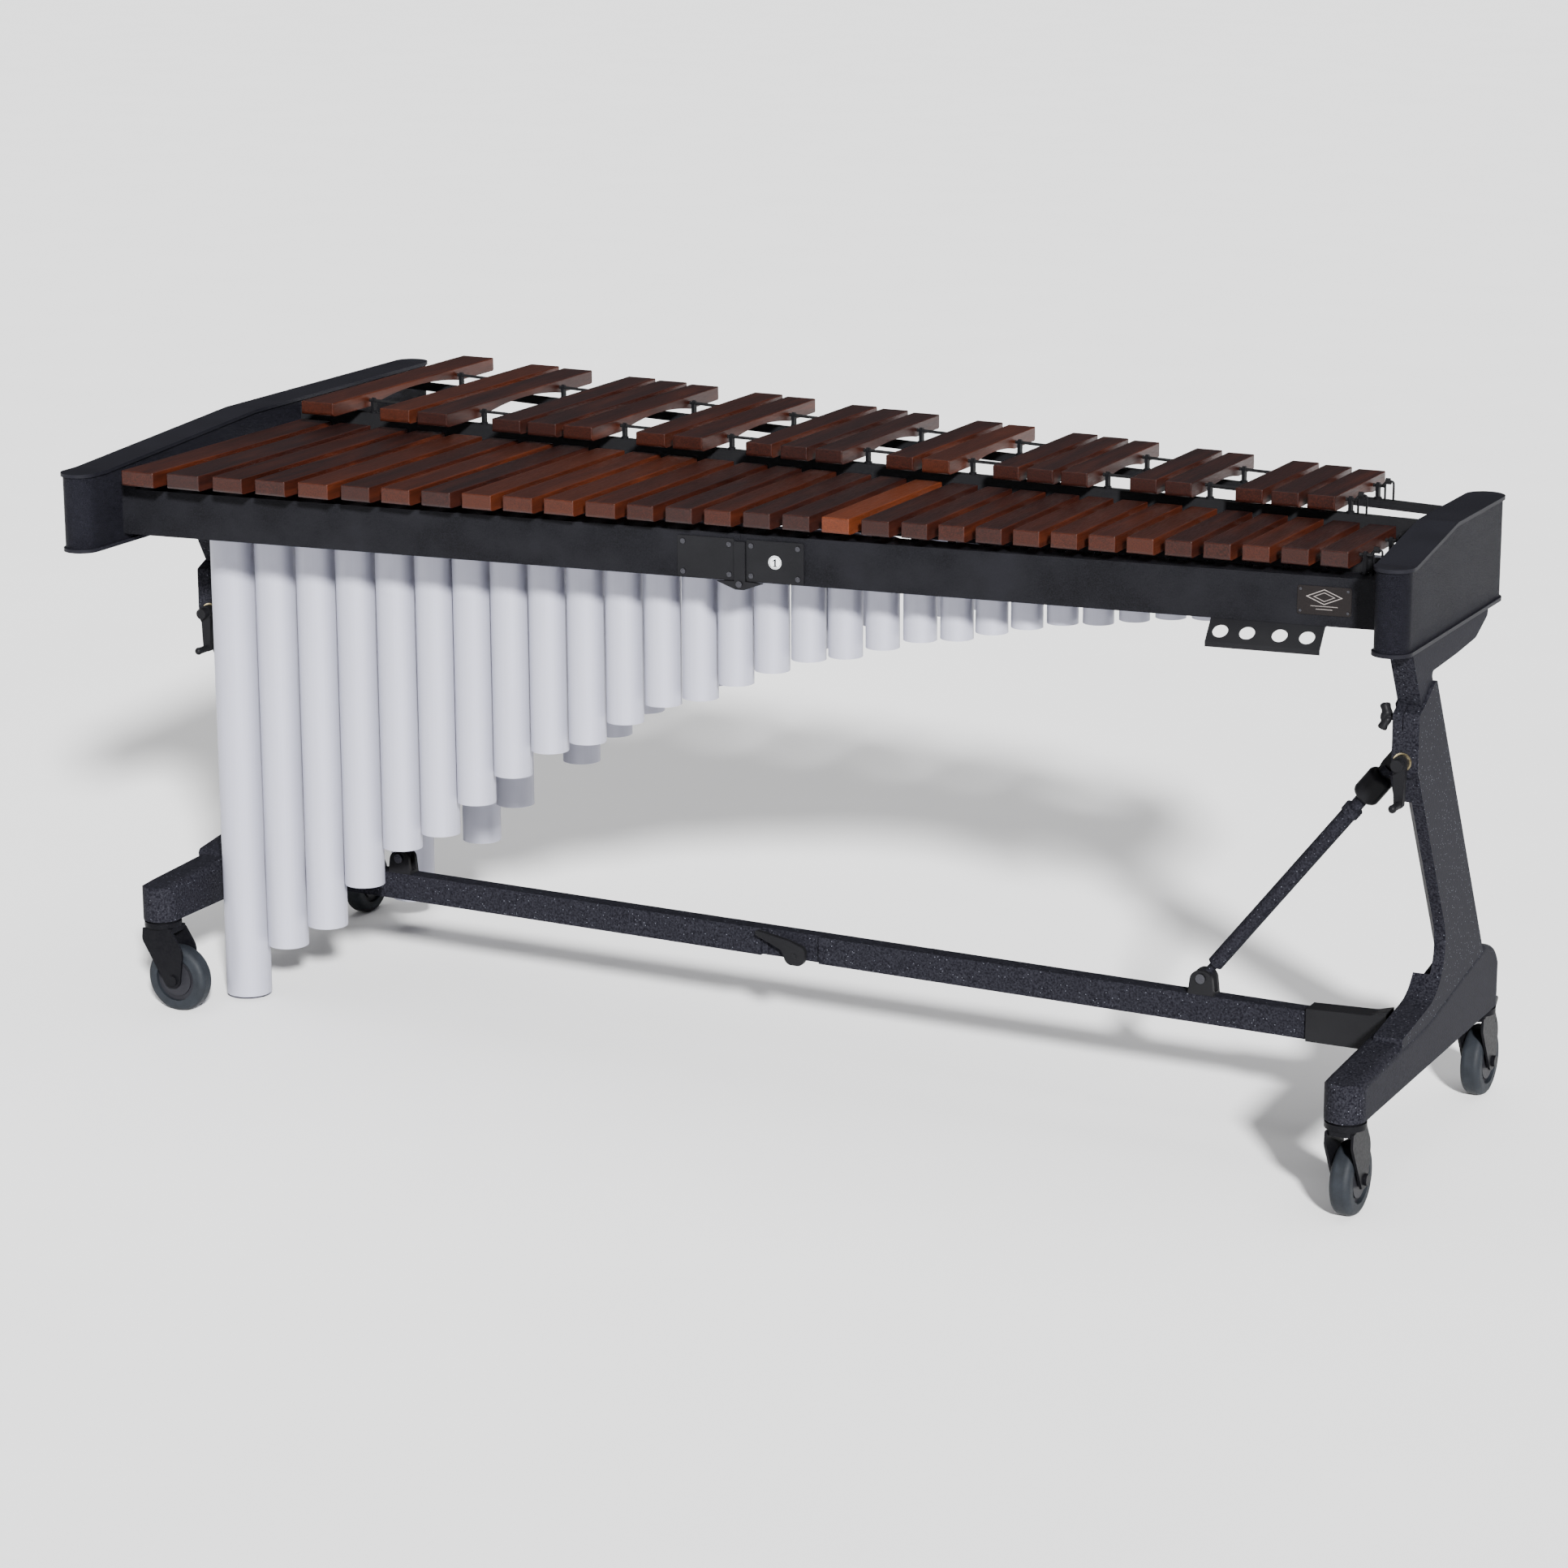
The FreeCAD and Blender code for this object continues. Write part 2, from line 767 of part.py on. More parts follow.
CLAMP_FRONT = 215
CLAMP_BOTTOM = 556
CLAMP_TOP = 642
CLAMP_INNER = 940
CLAMP_OUTER = 968
POST_FRONT = -82
POST_BACK = 30


def slanted_box(name, x, n, t, length, width, height, shift):
    """A box whose corner and long axis follow the leaning leg."""
    y, z = leaning(n, t)
    return solid("Box", name, (x, y + shift, z), turned(x=size("leg_lean")),
                 Length=length, Width=width, Height=height)


def foot(side, sign, shift):
    """The floor foot: round-ended in plan, with a soft crown that swells towards the post."""
    middle = sign * size("leg_middle")
    front = size("foot_front")
    back = size("foot_back")
    bottom = size("foot_bottom")
    outline = [
        (front - 20, bottom), (front - 20, 191, 8), (60, 196, 200), (300, 207, 300), (430, 230, 120),
        (535, 247, 50), (592, 228, 40), (back + 4, 180, 40), (back + 4, bottom),
    ]
    profile = padded(side + "_foot_side", "YZ", [outline], "leg_thickness", (middle, shift, 0))
    doc.recompute()
    edges = []
    for number, edge in enumerate(profile.Shape.Edges, start=1):
        box = edge.BoundBox
        if box.XLength < 1 and box.ZMax > bottom + 1 and box.ZMax - box.ZMin < 85 and box.YLength > 1:
            edges.append((number, 13, 13))
    soft = doc.addObject("Part::Fillet", side + "_foot_round")
    soft.Base = profile
    soft.Edges = edges
    plan = padded(side + "_foot_plan", "XY",
                  [stadium(middle, size("leg_thickness") / 2, front, back)], 800, (0, shift, 500))
    return common(side + "_foot", soft, plan)


def post_of_leg(side, sign, shift):
    """The leaning post: a raised rib on the foot that sweeps up and narrows towards its front."""
    inner = size("post_inner")
    outer = size("post_outer")
    outline = [
        (190, 180), (190, 208, 7), (290, 222, 200), (399, 240, 70),
        (at_height(POST_FRONT, CLAMP_BOTTOM), CLAMP_BOTTOM, 4),
        (CLAMP_FRONT + 1, CLAMP_BOTTOM + 8, 4), (CLAMP_FRONT + 1, CLAMP_TOP - 2, 3), (242, 652, 40),
        (283, 676, 6), (at_height(POST_BACK, 300), 300), (at_height(POST_BACK, 235), 235, 20), (540, 180),
    ]
    upright = padded(side + "_post_side", "YZ", [outline], outer - inner,
                     (sign * (inner + outer) / 2, shift, 0))
    wedge_section = [(sign * (outer - 16), POST_FRONT - 40), (sign * (outer - 16), POST_FRONT),
                     (sign * inner, POST_FRONT + 44), (sign * (inner - 30), POST_FRONT + 44),
                     (sign * (inner - 30), POST_FRONT - 40)]
    middle = leaning(0, -330)
    wedge = padded(side + "_post_wedge", "XY", [wedge_section], 330, (0, middle[0] + shift, middle[1]),
                   turned(x=size("leg_lean")))
    return cut(side + "_post", upright, wedge)


def lower_leg(side, sign, shift):
    casting = fuse(side + "_leg", foot(side, sign, shift), post_of_leg(side, sign, shift))
    clear = size("slide_clearance")
    width = size("slide_width") + 2 * clear
    thickness = size("slide_thickness") + 2 * clear
    channel = slanted_box(side + "_leg_channel", sign * size("slide_middle") - thickness / 2, -width / 2,
                          -424, thickness, width, 600, shift)
    pocket_outline = [(150, CLAMP_BOTTOM), (at_height(-25.2, CLAMP_BOTTOM), CLAMP_BOTTOM),
                      (at_height(-25.2, 700), 700), (150, 700)]
    reach = CLAMP_OUTER - 900
    pocket = padded(side + "_clamp_pocket", "YZ", [pocket_outline], reach,
                    (sign * (900 + reach / 2), shift, 0))
    tools = [channel, pocket]
    for y in CASTER_PLACES:
        tools.append(solid("Cylinder", side + "_stem_hole",
                           (sign * size("leg_middle"), y + shift, size("foot_bottom") - 1),
                           Radius="stem_radius + 0.05", Height=38))
    node(cut(side + "_lower_leg", casting, *tools), "lower_leg_" + side)


LEVER_SPOT = (955, 577)
KNOB_SPOT = (225, 633)
CASTER_PLACES = (52, 592)


def leg_clamp(side, sign, shift):
    middle = sign * (CLAMP_INNER + CLAMP_OUTER) / 2
    outline = [
        (CLAMP_FRONT, CLAMP_BOTTOM, 2), (at_height(-25.4, CLAMP_BOTTOM), CLAMP_BOTTOM),
        (at_height(-25.4, CLAMP_TOP + 8), CLAMP_TOP + 8), (CLAMP_FRONT, CLAMP_TOP - 1, 3),
    ]
    block = padded(side + "_clamp_block", "YZ", [outline], CLAMP_OUTER - CLAMP_INNER, (middle, shift, 0))
    slit = solid("Box", side + "_clamp_slit", (middle - 0.6, CLAMP_FRONT - 1 + shift, 618),
                 Length=1.2, Width=30, Height=60)
    bolt_hole = solid("Cylinder", side + "_lever_hole",
                      (sign * LEVER_SPOT[0], CLAMP_FRONT - 1 + shift, LEVER_SPOT[1]), turned(x=-90),
                      Radius=5.05, Height=24)
    knob_hole = solid("Cylinder", side + "_knob_hole",
                      (sign * (CLAMP_INNER - 1), KNOB_SPOT[0] + shift, KNOB_SPOT[1]), turned(y=90 * sign),
                      Radius=4.05, Height=13)
    node(cut(side + "_clamp", block, slit, bolt_hole, knob_hole), "leg_clamp_" + side)


def upper_leg(side, sign, shift):
    top = size("panel_bottom")
    half = size("slide_width") / 2
    foot_front = leaning(-half, -420)
    foot_back = leaning(half, -420)
    outline = [
        foot_front, (at_height(-half, top), top), (506, top), (503, 716, 6), (455, 695, 30),
        (374, 690, 60), (at_height(half, 687), 687, 6), foot_back,
    ]
    node(padded("upper_leg_" + side, "YZ", [outline], "slide_thickness",
                (sign * size("slide_middle"), shift, 0)), "upper_leg_" + side)


for leg_side, leg_sign, leg_shift in (("low", -1, size("low_leg_offset")), ("high", 1, 0)):
    lower_leg(leg_side, leg_sign, leg_shift)
    leg_clamp(leg_side, leg_sign, leg_shift)
    upper_leg(leg_side, leg_sign, leg_shift)


# ---------------------------------------------------------------- clamp levers and knobs

def clamp_lever(side, sign, shift):
    """A bent locking lever turning on the clamp's front face."""
    x = sign * LEVER_SPOT[0]
    z = LEVER_SPOT[1]
    face = CLAMP_FRONT + shift
    hub = solid("Cylinder", side + "_lever_hub", (x, face - 25, z), turned(x=-90), Radius=8, Height=14)
    boss = solid("Cylinder", side + "_lever_boss", (x, face - 14, z), turned(x=-90), Radius=10.5, Height=12)
    screw = solid("Cylinder", side + "_lever_screw", (x, face - 20, z), turned(x=-90), Radius=5, Height=40)
    arm = padded(side + "_lever_arm", "XZ",
                 [[(-9, 9, 8), (9, 9, 8), (6, -60, 5), (-6, -60, 5)]], 9, (x, face - 8, z))
    tip = solid("Cylinder", side + "_lever_tip", (x, face - 34, z - 55), turned(x=-90), Radius=5, Height=26)
    ball = solid("Sphere", side + "_lever_ball", (x, face - 34, z - 55), Radius=5.6)
    node(fuse(side + "_lever", hub, boss, screw, arm, tip, ball), "clamp_lever_" + side)
    washer = solid("Cylinder", side + "_washer_disc", (x, face - 1.7, z), turned(x=-90), Radius=12.5,
                   Height=1.7)
    bore = solid("Cylinder", side + "_washer_bore", (x, face - 3, z), turned(x=-90), Radius=5.05, Height=5)
    return cut(side + "_washer", washer, bore)


def height_knob(side, sign, shift):
    """A four-lobed locking knob on the clamp's inner face."""
    y = KNOB_SPOT[0] + shift
    z = KNOB_SPOT[1]
    turn = turned(y=90 * sign)
    parts = [
        solid("Cylinder", side + "_knob_hub", (sign * 921, y, z), turn, Radius=8.5, Height=15),
        solid("Cylinder", side + "_knob_shank", (sign * 924, y, z), turn, Radius=4, Height=27),
    ]
    for number in range(4):
        angle = math.radians(45 + 90 * number)
        parts.append(solid("Cylinder", "%s_lobe%d" % (side, number),
                           (sign * 922, y + 9 * math.cos(angle), z + 9 * math.sin(angle)), turn,
                           Radius=5, Height=10))
    node(fuse(side + "_knob", *parts), "height_knob_" + side)


washers = []
for leg_side, leg_sign, leg_shift in (("low", -1, size("low_leg_offset")), ("high", 1, 0)):
    washers.append(clamp_lever(leg_side, leg_sign, leg_shift))
    height_knob(leg_side, leg_sign, leg_shift)
node(group("clamp_washers", washers), "clamp_washers")


# ---------------------------------------------------------------- stretcher and struts

INNER_FACE = size("leg_middle") - size("leg_thickness") / 2
STRETCHER_LOW = 352
STRETCHER_HIGH = 300
LATCH_X = 26
LATCH_Z = 164


def stretcher_y(x):
    return (STRETCHER_HIGH + STRETCHER_LOW) / 2 + (STRETCHER_HIGH - STRETCHER_LOW) / 2 * x / INNER_FACE


def stretcher_outline(x_from, x_to, half):
    return [(x_from, stretcher_y(x_from) - half), (x_to, stretcher_y(x_to) - half),
            (x_to, stretcher_y(x_to) + half), (x_from, stretcher_y(x_from) + half)]


def stretcher():
    joint = size("stretcher_joint")
    half = size("stretcher_width") / 2
    wall = size("stretcher_wall")
    middle = size("stretcher_top") - size("stretcher_height") / 2
    tongue_reach = 70
    low_outer = padded("stretcher_low_outer", "XY", [stretcher_outline(-INNER_FACE, joint, half)],
                       "stretcher_height", (0, 0, middle))
    low_inner = padded("stretcher_low_inner", "XY",
                       [stretcher_outline(-INNER_FACE - 1, joint + 1, half - wall)],
                       "stretcher_height - 2 * stretcher_wall", (0, 0, middle))
    node(cut("stretcher_low", low_outer, low_inner), "stretcher_low")
    high_outer = padded("stretcher_high_outer", "XY", [stretcher_outline(joint, INNER_FACE, half)],
                        "stretcher_height", (0, 0, middle))
    pocket_end = size("latch_pocket_end")
    high_inner = padded("stretcher_high_inner", "XY",
                        [stretcher_outline(pocket_end + 20, INNER_FACE + 1, half - wall)],
                        "stretcher_height - 2 * stretcher_wall", (0, 0, middle))
    depth = size("latch_pocket_depth")
    front = [(joint - 1, stretcher_y(joint) - half - 5), (pocket_end, stretcher_y(pocket_end) - half - 5),
             (pocket_end, stretcher_y(pocket_end) - half + depth),
             (joint - 1, stretcher_y(joint - 1) - half + depth)]
    recess = padded("latch_recess", "XY", [front], 80, (0, 0, middle))
    tongue = padded("stretcher_tongue", "XY",
                    [stretcher_outline(joint - tongue_reach, joint + 10, half - wall)],
                    "stretcher_height - 2 * stretcher_wall", (0, 0, middle))
    bolt_hole = solid("Cylinder", "latch_bolt_hole", (LATCH_X, stretcher_y(LATCH_X) - 30, LATCH_Z),
                      turned(x=-90), Radius=4.05, Height=60)
    shell = cut("stretcher_high_shell", high_outer, high_inner, recess)
    node(cut("stretcher_high", fuse("stretcher_high", shell, tongue), bolt_hole), "stretcher_high")


def latch():
    """The over-centre lever that locks the two halves of the stretcher together."""
    half = size("stretcher_width") / 2
    face = stretcher_y(LATCH_X) - half + size("latch_pocket_depth")
    arm = padded("latch_arm", "XZ",
                 [[(18, 13, 10), (16, -14, 12), (-12, -14, 12), (-20, 7, 8), (-62, 24, 2), (-62, 31, 2),
                   (-10, 22, 20)]], 8, (LATCH_X, face - 10.8, LATCH_Z))
    bolt = solid("Cylinder", "latch_bolt", (LATCH_X, face - 16, LATCH_Z), turned(x=-90), Radius=4, Height=30)
    node(fuse("stretcher_latch", arm, bolt), "stretcher_latch")


def sockets():
    made = []
    half = size("stretcher_width") / 2
    middle = size("stretcher_top") - size("stretcher_height") / 2
    for sign in (-1, 1):
        side = "low" if sign < 0 else "high"
        x_from = sign * 808
        x_to = sign * INNER_FACE
        shape = [(x_from, -21), (x_to, -21), (x_to, 34), (x_to - sign * 22, 28, 40), (x_from, 25)]
        block = padded("socket_block_" + side, "XZ", [shape], 33,
                       (0, stretcher_y(sign * 865), middle))
        hollow = padded("socket_hollow_" + side, "XY",
                        [stretcher_outline(sign * 700, sign * 990, half)],
                        "stretcher_height", (0, 0, middle))
        made.append(cut("socket_" + side, block, hollow))
    node(group("stretcher_sockets", made), "stretcher_sockets")


STRUT_FOOT = (652, 219)
STRUT_HEAD = (926, 566)


def strut(side, sign):
    """A round diagonal brace from the stretcher to the leg's inner face."""
    y = stretcher_y(sign * STRUT_FOOT[0])
    rise = STRUT_HEAD[1] - STRUT_FOOT[1]
    reach = STRUT_HEAD[0] - STRUT_FOOT[0]
    length = math.hypot(rise, reach)
    tilt = math.degrees(math.atan2(reach, rise)) * sign
    turn = turned(y=tilt)

    def along(distance):
        return (sign * (STRUT_FOOT[0] + reach * distance / length), y,
                STRUT_FOOT[1] + rise * distance / length)

    rod = solid("Cylinder", side + "_strut_rod", along(26), turn, Radius="strut_radius",
                Height=length - 132)
    collar = solid("Cylinder", side + "_strut_collar", along(length - 118), turn, Radius=13, Height=12)
    neck = solid("Cylinder", side + "_strut_neck", along(length - 110), turn, Radius=9, Height=80)
    eye = solid("Cylinder", side + "_strut_eye", (sign * STRUT_FOOT[0], y - 6, STRUT_FOOT[1]),
                turned(x=-90), Radius=10, Height=12)
    shank = solid("Cylinder", side + "_strut_shank", along(5), turn, Radius=5.9, Height=24)
    pin_hole = solid("Cylinder", side + "_strut_pin_hole", (sign * STRUT_FOOT[0], y - 20, STRUT_FOOT[1]),
                     turned(x=-90), Radius=4.05, Height=40)
    whole = fuse(side + "_strut", rod, collar, neck, eye, shank)
    node(cut(side + "_strut", whole, pin_hole), "strut_rod_" + side)

    knob = solid("Cylinder", side + "_sleeve", along(length - 88), turn,
                 Radius="strut_knob_radius", Height=46)
    doc.recompute([knob])
    softened = doc.addObject("Part::Fillet", side + "_sleeve_round")
    softened.Base = knob
    round_edges = [number for number, edge in enumerate(knob.Shape.Edges, start=1)
                   if len(edge.Vertexes) == 1]
    softened.Edges = [(number, 9, 9) for number in round_edges]
    bore = solid("Cylinder", side + "_sleeve_bore", along(length - 120), turn, Radius=9.05, Height=110)
    plate_shape = [(-9, 0), (9, 0), (13, 20, 8), (13, 56), (-13, 56), (-13, 20, 8)]
    end_plate = padded(side + "_end_plate", "XZ", [plate_shape], 10, along(length - 48), turn)
    whole_sleeve = fuse(side + "_sleeve", cut(side + "_sleeve", softened, bore), end_plate)
    post_face = size("post_inner")
    leg_face = solid("Box", side + "_leg_face", (post_face if sign > 0 else -post_face - 100, y - 50, 400),
                     Length=100, Width=100, Height=300)
    neck_space = solid("Cylinder", side + "_neck_space", along(length - 60), turn, Radius=9.05, Height=30.1)
    return cut(side + "_strut_sleeve", whole_sleeve, leg_face, neck_space)


def clevis(side, sign):
    x = sign * STRUT_FOOT[0]
    y = stretcher_y(x)
    base = size("stretcher_top")
    outline = [(-19, 0), (19, 0), (15, 34, 14), (-15, 34, 14)]
    block = padded(side + "_clevis_block", "XZ", [outline], 25, (x, y, base))
    gap = solid("Box", side + "_clevis_gap", (x - 40, y - 6.3, base + 4), Length=80, Width=12.6, Height=60)
    hole = solid("Cylinder", side + "_clevis_hole", (x, y - 20, STRUT_FOOT[1]), turned(x=-90),
                 Radius=4.05, Height=40)
    pin = solid("Cylinder", side + "_clevis_pin", (x, y - 14.5, STRUT_FOOT[1]), turned(x=-90),
                Radius=4, Height=29)
    head = solid("Cylinder", side + "_clevis_pin_head", (x, y - 15.5, STRUT_FOOT[1]), turned(x=-90),
                 Radius=7, Height=3)
    return cut(side + "_clevis", block, gap, hole), fuse(side + "_pin", pin, head)


stretcher()
latch()
sockets()
sleeves = [strut("low", -1), strut("high", 1)]
node(group("strut_sleeves", sleeves), "strut_sleeves")
clevises = [clevis("low", -1), clevis("high", 1)]
node(group("strut_clevises", [item[0] for item in clevises]), "strut_clevises")
node(group("strut_pins", [item[1] for item in clevises]), "strut_pins")


# ---------------------------------------------------------------- casters

def caster(corner, x, y, heading, brake):
    """A swivelling fork, a wheel with a rubber tyre and, at the back, a brake pedal.
    heading is the direction the wheel trails in, in degrees from +X."""
    turn = turned(z=heading)
    base = FreeCAD.Placement(V(x, y + size("plan_shift"), 0), turn)
    trail = size("swivel_trail")
    axle_height = size("wheel_radius")
    gap = size("fork_gap")
    plate = size("fork_plate")
    ring_top = size("foot_bottom") - 0.3

    def put(piece, at, rotation=None):
        piece.Placement = base.multiply(FreeCAD.Placement(V(*at), rotation or FreeCAD.Rotation()))
        return piece

    def round_piece(name, at, radius, height, rotation=None):
        return put(solid("Cylinder", corner + name, Radius=radius, Height=height), at, rotation)

    across = turned(x=-90)
    pedal_u = 31
    pedal_z = 109
    side = [(-24, 126), (27, 126), (trail + 19, 96, 30), (trail + 11, 38, 12), (trail - 11, 38, 12),
            (-26, 108, 14)]
    legs = []
    for sign in (-1, 1):
        leg = padded("%s_fork_leg%d" % (corner, sign), "XZ", [side], plate)
        put(leg, (0, sign * (gap + plate) / 2, 0))
        if brake:
            eye = round_piece("_pedal_eye%d" % sign, (pedal_u, -40, pedal_z), 3.05, 80, across)
            leg = cut("%s_drilled_leg%d" % (corner, sign), leg, eye)
        legs.append(leg)
    ring = round_piece("_ring", (0, 0, ring_top - 11), 28, 8)
    race = round_piece("_race", (0, 0, ring_top - 3.5), 25, 3.5)
    crown = padded(corner + "_crown", "XY",
                   [[(-25, -gap / 2 - plate, 12), (27, -gap / 2 - plate, 3), (27, gap / 2 + plate, 3),
                     (-25, gap / 2 + plate, 12)]], 8)
    put(crown, (0, 0, ring_top - 14.5))
    stem = round_piece("_stem", (0, 0, ring_top - 6), "stem_radius", 38)
    axle = round_piece("_axle", (trail, -gap / 2 - plate - 3, axle_height), "axle_radius",
                       gap + 2 * plate + 6, across)
    nuts = []
    for sign in (-1, 1):
        at = (trail, sign * (gap / 2 + plate + 2) - 2, axle_height)
        nuts.append(round_piece("_nut%d" % sign, at, 8, 4, across))
    node(fuse(corner + "_fork", ring, race, crown, stem, axle, *legs, *nuts), "caster_fork_" + corner)

    hub_radius = size("wheel_hub_radius")
    disc = round_piece("_hub_disc", (trail, -9, axle_height), hub_radius, 18, across)
    boss = round_piece("_hub_boss", (trail, -gap / 2 + 0.5, axle_height), 11, gap - 1, across)
    face = round_piece("_hub_face", (trail, -12.5, axle_height), 26, 25, across)
    bore = round_piece("_hub_bore", (trail, -30, axle_height), "axle_radius + 0.05", 60, across)
    node(cut(corner + "_hub", fuse(corner + "_hub", disc, boss, face), bore), "caster_hub_" + corner)
    tread = round_piece("_tread", (trail, -size("tyre_width") / 2, axle_height), "wheel_radius",
                        "tyre_width", across)
    doc.recompute([tread])
    softened = doc.addObject("Part::Fillet", corner + "_tread_round")
    softened.Base = tread
    rims = [number for number, edge in enumerate(tread.Shape.Edges, start=1) if len(edge.Vertexes) == 1]
    softened.Edges = [(number, 9, 9) for number in rims]
    eye = round_piece("_tyre_eye", (trail, -30, axle_height), hub_radius, 60, across)
    node(cut(corner + "_tyre", softened, eye), "caster_tyre_" + corner)
    if brake:
        outline = [(26, 105, 3), (37, 105, 3), (64, 133, 3), (58, 137, 3), (29, 115, 6)]
        tread_plate = put(padded(corner + "_pedal", "XZ", [outline], 26), (0, 0, 0))
        pin = round_piece("_pedal_pin", (pedal_u, -19.5, pedal_z), 3, 39, across)
        node(fuse(corner + "_pedal", tread_plate, pin), "brake_pedal_" + corner)


LOW = size("low_leg_offset")
LEG = size("leg_middle")
FRONT, BACK = CASTER_PLACES
caster("front_low", -LEG, FRONT + LOW, 0, False)
caster("front_high", LEG, FRONT, 90, False)
caster("back_low", -LEG, BACK + LOW, 90, True)
caster("back_high", LEG, BACK, 90, True)


# ---------------------------------------------------------------- export

doc.recompute()
for item in doc.Objects:
    if "Invalid" in item.State or "Error" in item.State:
        raise RuntimeError("not built: %s %s" % (item.Label, item.State))
os.makedirs("parts", exist_ok=True)
for piece in NODES:
    if piece.Shape.isNull() or not piece.Shape.isValid():
        raise RuntimeError("bad shape: " + piece.Label)
    piece.Shape.exportStep("parts/%s.step" % piece.Label)
print("nodes", len(NODES))
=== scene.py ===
import json
import math
import random

import bmesh
import bpy
from mathutils import Matrix, Vector


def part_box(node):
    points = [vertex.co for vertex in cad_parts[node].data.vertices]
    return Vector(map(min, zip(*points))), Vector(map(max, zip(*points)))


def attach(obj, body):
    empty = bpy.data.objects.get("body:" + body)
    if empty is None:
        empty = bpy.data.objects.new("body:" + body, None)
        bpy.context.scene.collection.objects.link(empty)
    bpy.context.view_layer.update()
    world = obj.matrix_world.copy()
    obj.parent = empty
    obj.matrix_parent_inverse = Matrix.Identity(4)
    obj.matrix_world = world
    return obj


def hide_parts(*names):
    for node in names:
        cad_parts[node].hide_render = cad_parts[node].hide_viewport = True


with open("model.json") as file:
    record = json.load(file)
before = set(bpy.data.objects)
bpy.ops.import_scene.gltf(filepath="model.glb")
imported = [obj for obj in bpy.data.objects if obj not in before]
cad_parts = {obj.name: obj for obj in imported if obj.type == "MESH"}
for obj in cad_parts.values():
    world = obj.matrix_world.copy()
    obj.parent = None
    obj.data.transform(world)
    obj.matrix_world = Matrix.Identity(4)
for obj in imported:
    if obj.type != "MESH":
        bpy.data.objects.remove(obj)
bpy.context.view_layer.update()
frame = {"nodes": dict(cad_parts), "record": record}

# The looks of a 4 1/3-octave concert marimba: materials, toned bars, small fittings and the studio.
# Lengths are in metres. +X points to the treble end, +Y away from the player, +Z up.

NODES = frame["nodes"]
JOINTS = {joint["name"]: joint for joint in frame["record"]["behaviour"]["joints"]}
SLOTS = {entry["node"]: entry["material_slot"] for entry in frame["record"]["subparts"]}


# ------------------------------------------------------------------ materials

